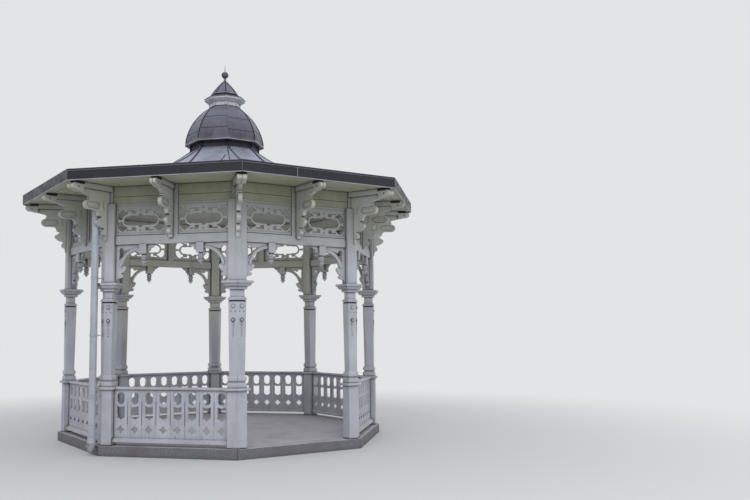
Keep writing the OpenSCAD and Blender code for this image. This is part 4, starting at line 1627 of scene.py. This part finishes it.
@dataclass
class CapTrim:
    """Trim of the small cap: a rib down each corner of its cone, dark as painted shade, and a bright fold round its
    drip bead, pale as painted highlight.
    """

    rib_width: float = 13 * MM
    rib_height: float = 7 * MM
    bead_low: float = 88 * MM
    bead_high: float = 102 * MM
    cone_foot: float = 108 * MM
    proud: float = 3 * MM
    bead_depth: float = 12 * MM
    least_radius: float = 25 * MM
    bead_gap: float = 0.3 * MM
    bead_edge: float = 3 * MM

    def build(self, finish: Material, bead_highlight: Material) -> list[Piece]:
        """Builds the ribs and the fold.

        Args:
            finish: The ribs' finish.
            bead_highlight: The fold's finish.

        Returns:
            The ribs and the fold.
        """
        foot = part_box("lantern_cap")[0].z
        line = outer_line("lantern_cap")
        cone = [point for point in line if point[1] > foot + self.cone_foot and point[0] > self.least_radius]
        rib = Workshop.swept("cap_rib", towards_front(cone), self.rib_width, self.rib_height, self.rib_height, Lay.UP)
        ribs = seat(Workshop.array(rib, "cap_ribs", corners()), finish)
        reach = radius_at(line, foot + (self.bead_low + self.bead_high) / 2) * math.cos(HALF_TURN)
        low, high = foot + self.bead_low, foot + self.bead_high
        near, far = reach - self.bead_depth, reach + self.proud
        fold = Workshop.mitred("cap_bead", near, far, low, high, self.bead_gap, self.bead_edge)
        return [ribs, seat(Workshop.array(fold, "cap_bead", sides()), bead_highlight)]


@dataclass
class LanternStrips:
    """Painted strips over the corners of the drum."""

    width: float = 22 * MM
    proud: float = 4 * MM

    def build(self, finish: Material) -> Piece:
        """Builds the eight strips.

        Args:
            finish: The strips' paint.

        Returns:
            The strips.
        """
        low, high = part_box("lantern_drum")
        radius = outer_line("lantern_drum")[-1][0]
        line = [Vector((0.0, -radius, high.z)), Vector((0.0, -radius, low.z))]
        strip = Workshop.swept("drum_strip", line, self.width, 2 * self.proud, self.proud, Lay.UP)
        return seat(Workshop.array(strip, "drum_strips", corners()), finish)


@dataclass
class BallRibs:
    """Raised seams that run over the ball from its neck to the foot of the spike."""

    reach: float = 62 * MM
    thickness: float = 3.5 * MM
    rings: int = 4
    sunk: float = 4 * MM
    span: tuple[float, float] = (0.97, 0.93)

    def build(self, finish: Material) -> Piece:
        """Builds upright rings through the ball, cut off above and below it.

        Args:
            finish: The seams' finish.

        Returns:
            The seams.
        """
        low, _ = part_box("finial")
        centre = low.z + self.reach - self.sunk
        above, below = self.span
        ring = Workshop.primitive(
            Primitive.TORUS, "ball_rib", major_radius=self.reach, minor_radius=self.thickness, major_segments=48,
            minor_segments=8, location=(0.0, 0.0, centre), rotation=FORWARD,
        )
        Workshop.trim(ring, (0.0, 0.0, centre + above * self.reach), UP)
        Workshop.trim(ring, (0.0, 0.0, centre - below * self.reach), DOWN)
        turns = [Matrix.Rotation(HALF_TURN + TURN * i, 4, "Z") for i in range(self.rings)]
        return seat(Workshop.smooth(Workshop.array(ring, "ball_ribs", turns)), finish)


@dataclass
class PostOrnaments:
    """Turned and carved pieces nailed to both outer faces of every shaft, listed from the top down."""

    face_x: float = 0.9993
    face_foot: tuple[float, float] = (1.058, 2.570)
    face_head: tuple[float, float] = (2.144, 2.583)
    floor: float = 0.15
    boss: tuple[float, float] = (2.078, 29 * MM)
    diamond: tuple[float, float] = (1.868, 34 * MM)
    button: tuple[float, float] = (1.815, 17 * MM)
    strip: tuple[float, float] = (1.70, 1.795)
    strip_width: float = 15 * MM
    pins: tuple[tuple[float, float], ...] = ((-34 * MM, 1.995), (34 * MM, 1.995), (0.0, 1.667), (0.0, 1.632))
    pin: float = 8 * MM
    boss_proud: float = 23 * MM
    button_proud: float = 14 * MM
    diamond_proud: float = 9 * MM
    diamond_steps: tuple[tuple[float, float], ...] = ((5 * MM, -6 * MM), (6 * MM, 8 * MM), (5 * MM, 3 * MM))
    strip_depth: tuple[float, float] = (5 * MM, 7 * MM)
    strip_edge: float = 2 * MM
    sunk: float = 4 * MM
    pin_sunk: float = 2 * MM

    def build(self, finish: Material, iron: Material) -> list[Piece]:
        """Builds the wooden pieces and the pins.

        Args:
            finish: The wood's paint.
            iron: The pins' finish.

        Returns:
            The ornaments and the pins.
        """
        wood = [
            self.half_round("boss", *self.boss, self.boss_proud),
            self.carved_diamond(),
            self.half_round("button", *self.button, self.button_proud),
            self.raised_strip(),
        ]
        nails = [self.round_pin(x, level) for x, level in self.pins]
        carved = Workshop.array(Workshop.join(wood, "post_ornament"), "post_ornaments", pairs(self.face_x))
        pins = Workshop.array(Workshop.join(nails, "post_pin"), "post_pins", pairs(self.face_x))
        return [
            seat(Workshop.smooth(carved), finish),
            seat(Workshop.smooth(pins), iron),
        ]

    def wall(self, level: float) -> float:
        """Returns how far the tapered face stands from the axis at a level above the floor."""
        (z0, y0), (z1, y1) = self.face_foot, self.face_head
        return y0 + (y1 - y0) * (level - z0) / (z1 - z0)

    def half_round(self, name: str, level: float, radius: float, proud: float) -> Piece:
        """Makes a domed half-round that hangs under its straight upper edge.

        Args:
            name: The piece's name.
            level: Height of its middle above the floor.
            radius: Its radius.
            proud: How far it stands out.

        Returns:
            The half-round.
        """
        place = Vector((0.0, -self.wall(level), self.floor + level))
        made = Workshop.primitive(
            Primitive.SPHERE, name, segments=20, ring_count=12, radius=radius, location=place, rotation=FORWARD,
            scale=(1.0, 1.25, proud / radius),
        )
        Workshop.trim(made, place + Vector((0.0, 0.0, 0.35 * radius)), (0.0, 0.25, 1.0))
        return Workshop.trim(made, place + Vector((0.0, self.sunk, 0.0)), INWARDS)

    def carved_diamond(self) -> Piece:
        """Makes the diamond: a sunk ring round a raised button.

        Returns:
            The diamond.
        """
        level, radius = self.diamond
        place = Vector((0.0, -self.wall(level), self.floor + level))
        made = Workshop.drill(place, radius, 2 * self.diamond_proud, 4)
        with Workshop.editing(made):
            Workshop.select(made, OUTWARDS)
            for inset, rise in self.diamond_steps:
                bpy.ops.mesh.inset(thickness=inset)
                bpy.ops.transform.translate(value=(0.0, -rise, 0.0))
        return made

    def raised_strip(self) -> Piece:
        """Makes the slim strip between the button and the pins.

        Returns:
            The strip.
        """
        low, high = self.strip
        half = self.strip_width / 2
        proud, sunk = self.strip_depth
        wall = -self.wall(low)
        start, end = (-half, wall - proud, self.floor + low), (half, wall + sunk, self.floor + high)
        return Workshop.bar("strip", start, end, self.strip_edge)

    def round_pin(self, x: float, level: float) -> Piece:
        """Makes a domed pin head.

        Args:
            x: How far the pin is from the face's middle.
            level: Its height above the floor.

        Returns:
            The pin head.
        """
        place = Vector((x, -self.wall(level), self.floor + level))
        made = Workshop.primitive(
            Primitive.SPHERE, "pin", segments=10, ring_count=6, radius=self.pin, location=place, rotation=FORWARD,
            scale=(1.0, 1.0, 0.7),
        )
        return Workshop.trim(made, place + Vector((0.0, self.pin_sunk, 0.0)), INWARDS)


@dataclass
class PostShadowLines:
    """Black rings round every post, at the head of its shaft and at the foot of its pedestal: painted shadow lines
    where the profile steps.
    """

    levels: tuple[tuple[float, float], ...] = ((2.290, 2.303), (0.150, 0.160))
    proud: float = 2 * MM

    def build(self, shade_black: Material) -> Piece:
        """Builds the rings as thin slices of the post itself, a little proud of it.

        Args:
            shade_black: The black of the painted shadow.

        Returns:
            The rings.
        """
        made = []
        for low, high in self.levels:
            ring = Workshop.from_frame("post_1")
            Workshop.trim(ring, (0.0, 0.0, high), UP)
            Workshop.trim(ring, (0.0, 0.0, low), DOWN)
            with Workshop.editing(ring):
                bpy.ops.transform.shrink_fatten(value=self.proud)
            made += Workshop.copies(ring, sides())
        return seat(Workshop.join(made, "post_shadow_lines"), shade_black)


@dataclass
class BalustradeSawing:
    """The pierced boards, sawn wider than in the plain model: a full round over a smaller lobe, a shouldered
    slot, a four-pointed star and a drilled end to every open joint. Levels are from the floor."""

    boards: int = 8
    floor: float = 0.15
    face: tuple[float, float] = (2.44, 2.54)
    rounds: tuple[tuple[float, float], ...] = ((0.727, 65 * MM), (0.672, 60 * MM))
    shoulder: tuple[float, float, float, float] = (50 * MM, 63 * MM, 0.411, 0.584)
    star: tuple[float, float, float] = (0.237, 67 * MM, 34 * MM)
    joint_end: tuple[float, float] = (0.318, 8 * MM)

    def build(self, finishes: Sequence[Material]) -> list[Piece]:
        """Builds the seven balustrades, each in the finish of its bay.

        Args:
            finishes: The paint of each of the seven bays.

        Returns:
            The seven balustrades.
        """
        bay = Workshop.from_frame("balustrade_1")
        bay.data.transform(Matrix.Rotation(-TURN, 4, "Z"))
        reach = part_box("balustrade_2")[1].y
        pitch = 2 * reach / self.boards
        for i in range(self.boards):
            for tool in self.saw_cuts((i + 0.5) * pitch - reach):
                Workshop.cut(bay, tool)
            if i:
                level, radius = self.joint_end
                Workshop.cut(bay, self.round(i * pitch - reach, level, radius))
        made = []
        for i, piece in enumerate(Workshop.copies(bay, sides()[1:]), start=1):
            piece.name = piece.data.name = f"balustrade_boards_{i}"
            made.append(seat(piece, finishes[i - 1], [f"balustrade_{i}"]))
        return made

    def saw_cuts(self, x: float) -> list[Piece]:
        """Makes the shapes that are cut out of one board, about its middle line.

        Args:
            x: The board's middle line.

        Returns:
            The tools.
        """
        tools = [self.round(x, level, radius) for level, radius in self.rounds]
        inner, outer, low, high = self.shoulder
        near, far = self.face
        for side in (-1, 1):
            left, right = sorted((x + side * inner, x + side * outer))
            tools.append(Workshop.bar("saw_cut", (left, -far, self.floor + low), (right, -near, self.floor + high)))
        level, half_width, half_height = self.star
        points = self.round(x, level, half_width, 4)
        centre = (x, 0.0, self.floor + level)
        with Workshop.editing(points):
            bpy.ops.transform.resize(value=(1.0, 1.0, half_height / half_width), center_override=centre)
        return [*tools, points]

    def round(self, x: float, level: float, radius: float, vertices: int = 32) -> Piece:
        """Makes a round or square tool through the boards.

        Args:
            x: How far it is from the bay's middle.
            level: Height of its middle above the floor.
            radius: Its radius, out to its corners.
            vertices: How many corners it has.

        Returns:
            The tool.
        """
        near, far = self.face
        place = (x, -(near + far) / 2, self.floor + level)
        return Workshop.drill(place, radius, far - near, vertices)


@dataclass
class BoardNails:
    """Nail heads in the balustrade boards: two at the head and two at the foot of each board."""

    boards: int = 8
    head: float = 4.5 * MM
    from_edge: float = 0.048
    levels: tuple[float, ...] = (0.296, 0.948)
    wall: float = 2.507

    def build(self, finish: Material) -> Piece:
        """Builds the nails of the seven closed bays.

        Args:
            finish: The nails' finish.

        Returns:
            The nails.
        """
        _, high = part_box("balustrade_2")
        pitch = 2 * high.y / self.boards
        places = []
        for i in range(self.boards):
            for x in (i * pitch - high.y + self.from_edge, (i + 1) * pitch - high.y - self.from_edge):
                places += [Matrix.Translation((x, 0.0, level)) for level in self.levels]
        bay = Workshop.array(self.nail(), "bay_nails", places)
        return seat(Workshop.array(bay, "board_nails", sides()[1:]), finish)

    def nail(self) -> Piece:
        """Makes one head with its hammered flat, on the boards' face at the ground.

        Returns:
            The head.
        """
        made = Workshop.primitive(
            Primitive.CONE, "nail", vertices=8, radius1=self.head, radius2=0.6 * self.head, depth=3 * MM,
            location=(0.0, -self.wall - MM, 0.0), rotation=FORWARD,
        )
        with Workshop.editing(made):
            Workshop.select(made, OUTWARDS)
            bpy.ops.mesh.inset(thickness=0.2 * self.head)
            bpy.ops.transform.translate(value=(0.0, -0.4 * MM, 0.0))
        return made


@dataclass
class RafterEndShadows:
    """Black blocks over the outer end of each rafter, under the pale soffit: painted shadow and dirt."""

    height: float = 42 * MM
    wrap: float = 4 * MM
    length: float = 0.15
    side: tuple[float, float] = (3.058, 0.094)
    corner: tuple[float, float] = (3.270, 0.140)
    edge: float = 2 * MM

    def build(self, finish: Material) -> Piece:
        """Builds one over each of the sixteen rafters.

        Args:
            finish: The blocks' black.

        Returns:
            The blocks.
        """
        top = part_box("soffit")[0].z
        made = []
        for (start, width), places in ((self.side, sides()), (self.corner, corners())):
            half = width / 2 + self.wrap
            low = (-half, -start - self.length, top - self.height)
            shadow_block = Workshop.bar("shadow_block", low, (half, -start, top), self.edge)
            made += Workshop.copies(shadow_block, places)
        return seat(Workshop.join(made, "rafter_end_shadows"), finish)


@dataclass
class PipeTrim:
    """Rings and clip screws of the downpipe."""

    radius: float = 55 * MM
    rings: tuple[float, ...] = (0.452, 1.30, 3.2)
    ring: float = 4.5 * MM
    clips: tuple[float, ...] = (0.879, 1.801, 2.671)
    screw: float = 6 * MM
    ear: float = 5 * MM

    def build(self, finish: Material, iron: Material) -> list[Piece]:
        """Builds rolled rings round the pipe and two screws in each clip.

        Args:
            finish: The rings' paint.
            iron: The screws' finish.

        Returns:
            The rings and the screws.
        """
        x, y = self.axis_place()
        places = [Matrix.Translation((x, y, level)) for level in self.rings]
        rings = Workshop.smooth(Workshop.array(self.rolled_ring(), "pipe_rings", places))
        half_round = Matrix.Rotation(math.pi, 4, "Z")
        places = [Matrix.Translation((x, y, level)) @ hand for level in self.clips for hand in (Matrix(), half_round)]
        heads = Workshop.smooth(Workshop.array(self.clip_screw(), "pipe_screws", places))
        return [seat(rings, finish), seat(heads, iron)]

    def rolled_ring(self) -> Piece:
        """Makes a rolled ring with flat edges, round the frame's axis at the ground.

        Returns:
            The ring.
        """
        made = Workshop.primitive(
            Primitive.TORUS, "pipe_ring", major_radius=self.radius, minor_radius=self.ring, major_segments=40,
            minor_segments=8,
        )
        for up in (-1, 1):
            Workshop.trim(made, (0.0, 0.0, up * 0.8 * self.ring), (0.0, 0.0, up))
        return made

    def clip_screw(self) -> Piece:
        """Makes a domed screw head on the clip's left ear, with its flat side against the ear.

        Returns:
            The screw head.
        """
        place = (0.0, -self.radius - self.ear, 0.0)
        made = Workshop.primitive(
            Primitive.SPHERE, "clip_screw", segments=10, ring_count=6, radius=self.screw, location=place,
            scale=(1.0, 0.6, 1.0),
        )
        return Workshop.trim(made, (0.0, place[1] + 0.3 * self.screw, 0.0), INWARDS)

    @staticmethod
    def axis_place() -> tuple[float, float]:
        """Returns where the pipe's axis stands, from the round vertices at its head.

        Returns:
            Its X and Y.
        """
        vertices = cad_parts["downpipe"].data.vertices
        top = max(v.co.z for v in vertices)
        ring = [v.co for v in vertices if v.co.z > top - MM]
        xs, ys = [v.x for v in ring], [v.y for v in ring]
        return (min(xs) + max(xs)) / 2, (min(ys) + max(ys)) / 2


@dataclass(frozen=True)
class SoftLamp:
    """A square lamp that hangs in the studio."""

    name: str
    place: Triple
    size: float
    watts: float

    def hang(self, target: Triple) -> None:
        """Hangs the lamp so that it faces a point.

        Args:
            target: The point.
        """
        data = bpy.data.lights.new(self.name, "AREA")
        data.size = self.size
        data.energy = self.watts
        lamp = bpy.data.objects.new(self.name, data)
        lamp.location = self.place
        aim = Vector(target) - lamp.location
        lamp.rotation_euler = aim.to_track_quat("-Z", "Y").to_euler()
        bpy.context.scene.collection.objects.link(lamp)


@dataclass
class Studio:
    """The pale floor, the soft lamps and the camera at the photograph's place."""

    camera_place: Triple = (-6.618, -13.235, 1.83)
    heading: float = math.radians(31.96)
    pitch: float = math.radians(5.79)
    roll: float = math.radians(-0.32)
    lens: float = 38.95
    shift: float = 0.0993
    sensor_width: float = 36.0
    floor_reach: float = 60.0
    fade: tuple[float, float] = (5.0, 13.0)
    floor_colour: str = "C9CACC"
    backdrop: str = "E3E4E6"
    sky_colour: str = "E9EBEE"
    sky_strength: float = 1.0
    # A broad lamp high on the camera's left, a weaker one on the right and a low one that reaches under the roof
    soft_lamps: tuple[SoftLamp, ...] = (
        SoftLamp("key_lamp", (-9.0, -12.0, 13.0), 9.0, 760.0),
        SoftLamp("fill_lamp", (12.0, -7.0, 9.0), 10.0, 260.0),
        SoftLamp("front_lamp", (-3.0, -20.0, 3.2), 9.0, 430.0),
    )
    lit_point: Triple = (0.0, 0.0, 2.5)
    floor_depth: float = 20 * MM
    floor_level: float = -0.5 * MM

    def build(self) -> None:
        """Builds the floor, the world, the lamps and the camera."""
        self.floor()
        self.world()
        self.lamps()
        self.camera()

    def floor(self) -> None:
        """Lays a pale floor that keeps the object's shadow and fades into the backdrop further out."""
        ground = Workshop.primitive(
            Primitive.CYLINDER, "floor_plane", vertices=96, radius=self.floor_reach, depth=self.floor_depth
        )
        ground.location.z = self.floor_level - self.floor_depth / 2
        s = Shading("studio_floor")
        s.shader.inputs["Base Color"].default_value = linear(self.floor_colour)
        s.shader.inputs["Roughness"].default_value = 0.9
        reach = s.node("ShaderNodeVectorMath", {"operation": "LENGTH"}, {0: s.place}).outputs["Value"]
        settings = {"From Min": self.fade[0], "From Max": self.fade[1], "interpolation_type": "SMOOTHSTEP"}
        far = s.node("ShaderNodeMapRange", settings, {"Value": reach}).outputs["Result"]
        seen = s.node("ShaderNodeLightPath").outputs["Is Camera Ray"]
        share = s.node("ShaderNodeMath", {"operation": "MULTIPLY"}, {0: far, 1: seen}).outputs["Value"]
        plain = s.node("ShaderNodeEmission", {"Color": linear(self.backdrop)}).outputs["Emission"]
        shaded = s.shader.outputs["BSDF"]
        mixed = s.node("ShaderNodeMixShader", None, {0: share, 1: shaded, 2: plain}).outputs["Shader"]
        s.tree.links.new(mixed, s.tree.nodes["Material Output"].inputs["Surface"])
        dress(ground, s.material)

    def world(self) -> None:
        """Gives soft light all round and a plain pale backdrop."""
        world = bpy.data.worlds.new("soft_studio")
        world.use_nodes = True
        bpy.context.scene.world = world
        work = NodeWork(world.node_tree)
        lit = {"Color": linear(self.sky_colour), "Strength": self.sky_strength}
        sky = work.node("ShaderNodeBackground", lit).outputs["Background"]
        plain = work.node("ShaderNodeBackground", {"Color": linear(self.backdrop)}).outputs["Background"]
        seen = work.node("ShaderNodeLightPath").outputs["Is Camera Ray"]
        mixed = work.node("ShaderNodeMixShader", None, {0: seen, 1: sky, 2: plain}).outputs["Shader"]
        work.tree.links.new(mixed, work.tree.nodes["World Output"].inputs["Surface"])

    def lamps(self) -> None:
        """Hangs the soft lamps."""
        for lamp in self.soft_lamps:
            lamp.hang(self.lit_point)

    def camera(self) -> None:
        """Sets the camera where the photograph was taken from."""
        data = bpy.data.cameras.new("photo_camera")
        data.lens = self.lens
        data.sensor_width = self.sensor_width
        data.shift_x = self.shift
        camera = bpy.data.objects.new("photo_camera", data)
        turn = Matrix.Rotation(-self.heading, 4, "Z") @ Matrix.Rotation(math.pi / 2 + self.pitch, 4, "X")
        camera.matrix_world = Matrix.Translation(self.camera_place) @ turn @ Matrix.Rotation(self.roll, 4, "Z")
        bpy.context.scene.collection.objects.link(camera)
        bpy.context.scene.camera = camera


def balustrade_finish(bay: int) -> OilPaint:
    """Returns the paint of one bay's balustrade, with the joints between its boards.

    Args:
        bay: The bay's number, from 1.

    Returns:
        The paint.
    """
    _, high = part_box("balustrade_2")
    joints = BoardJoints(TURN * bay, high.y / 4)
    return OilPaint(f"white_oil_paint_bay_{bay}", Grain.UPRIGHT, joints=joints, cracks=0.4)


class Palette:
    """The materials in use, each finish made once."""

    def __init__(self) -> None:
        """Starts with no material."""
        self.made: dict[str, Material] = {}

    def of(self, *finishes: Finish) -> list[Material]:
        """Returns the materials of some finishes, each made at its first use.

        Args:
            finishes: The finishes.

        Returns:
            Their materials, in the same order.
        """
        for finish in finishes:
            if finish.name not in self.made:
                self.made[finish.name] = finish.material()
        return [self.made[finish.name] for finish in finishes]


def dress_frame(palette: Palette) -> None:
    """Gives every CAD node its finish.

    Args:
        palette: Where the materials come from.
    """
    # The neck under the dome takes the dark seam sheet as painted shade under the dome's rim
    chosen: dict[str, Finish] = {
        "post": POST_PAINT, "fretwork": SAWN_PAINT, "tie_beams": LEVEL_PAINT, "arches": SAWN_PAINT,
        "pendants": UPRIGHT_PAINT, "corner_brackets": BRACKET_PAINT, "side_brackets": BRACKET_PAINT,
        "rafter_ends": BRACKET_PAINT, "eaves_band": BAND_PAINT, "soffit": SOFFIT_SHADE_PAINT, "ceiling": CEILING_PAINT,
        "fascia": FASCIA_SHEET, "roof": ROOF_SHEET, "roof_sweep": ROOF_SHEET, "roof_neck": SEAM_SHEET,
        "dome": DOME_SHEET, "lantern_drum": LANTERN_PAINT, "lantern_cornice": LANTERN_PAINT,
        "lantern_cap": CAP_SHEET, "finial": DOME_SHEET, "downpipe": PIPE_PAINT, "plinth": KERB_STONE,
        "floor": SCREED,
    }
    for name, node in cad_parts.items():
        kind = name.rstrip("0123456789").rstrip("_")
        finish = balustrade_finish(int(name[-1])) if kind == "balustrade" else chosen[kind]
        dress(node, *palette.of(finish))
        LOG.info("%s: %s", name, finish.name)


def main() -> None:
    """Builds the looks."""
    logging.basicConfig(level=logging.INFO, format="%(message)s")
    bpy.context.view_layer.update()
    bpy.context.scene.view_settings.view_transform = "Standard"
    palette = Palette()
    dress_frame(palette)
    SoffitBoarding().build(*palette.of(SOFFIT_SHADE_PAINT))
    CeilingBoarding().build(*palette.of(CEILING_PAINT))
    BandBoards().build(*palette.of(BAND_PAINT, UPRIGHT_PAINT))
    FretworkPanels().build(*palette.of(SAWN_PAINT))
    FriezeLaths().build(*palette.of(SAWN_PAINT, SHADOW_BLACK))
    FasciaSheets().build(*palette.of(FASCIA_SHEET, EDGE_SHEET, LAP_SHADOW_BLACK))
    RoofSeams().build(*palette.of(SEAM_SHEET, BEAD_SHEET))
    NeckRibs().build(*palette.of(SEAM_SHEET))
    DomeTrim().build(*palette.of(SEAM_SHEET, BEAD_SHEET, DOME_SHEET))
    CapTrim().build(*palette.of(SEAM_SHEET, BEAD_SHEET))
    LanternStrips().build(*palette.of(LANTERN_PAINT))
    BallRibs().build(*palette.of(DOME_SHEET))
    PostOrnaments().build(*palette.of(UPRIGHT_PAINT, NAIL_IRON))
    PostShadowLines().build(*palette.of(SHADOW_BLACK))
    BalustradeSawing().build(palette.of(*(balustrade_finish(bay) for bay in range(1, SIDES))))
    BoardNails().build(*palette.of(NAIL_IRON))
    RafterEndShadows().build(*palette.of(SHADOW_BLACK))
    PipeTrim().build(*palette.of(PIPE_PAINT, NAIL_IRON))
    Studio().build()


if __name__ == "__main__":
    main()
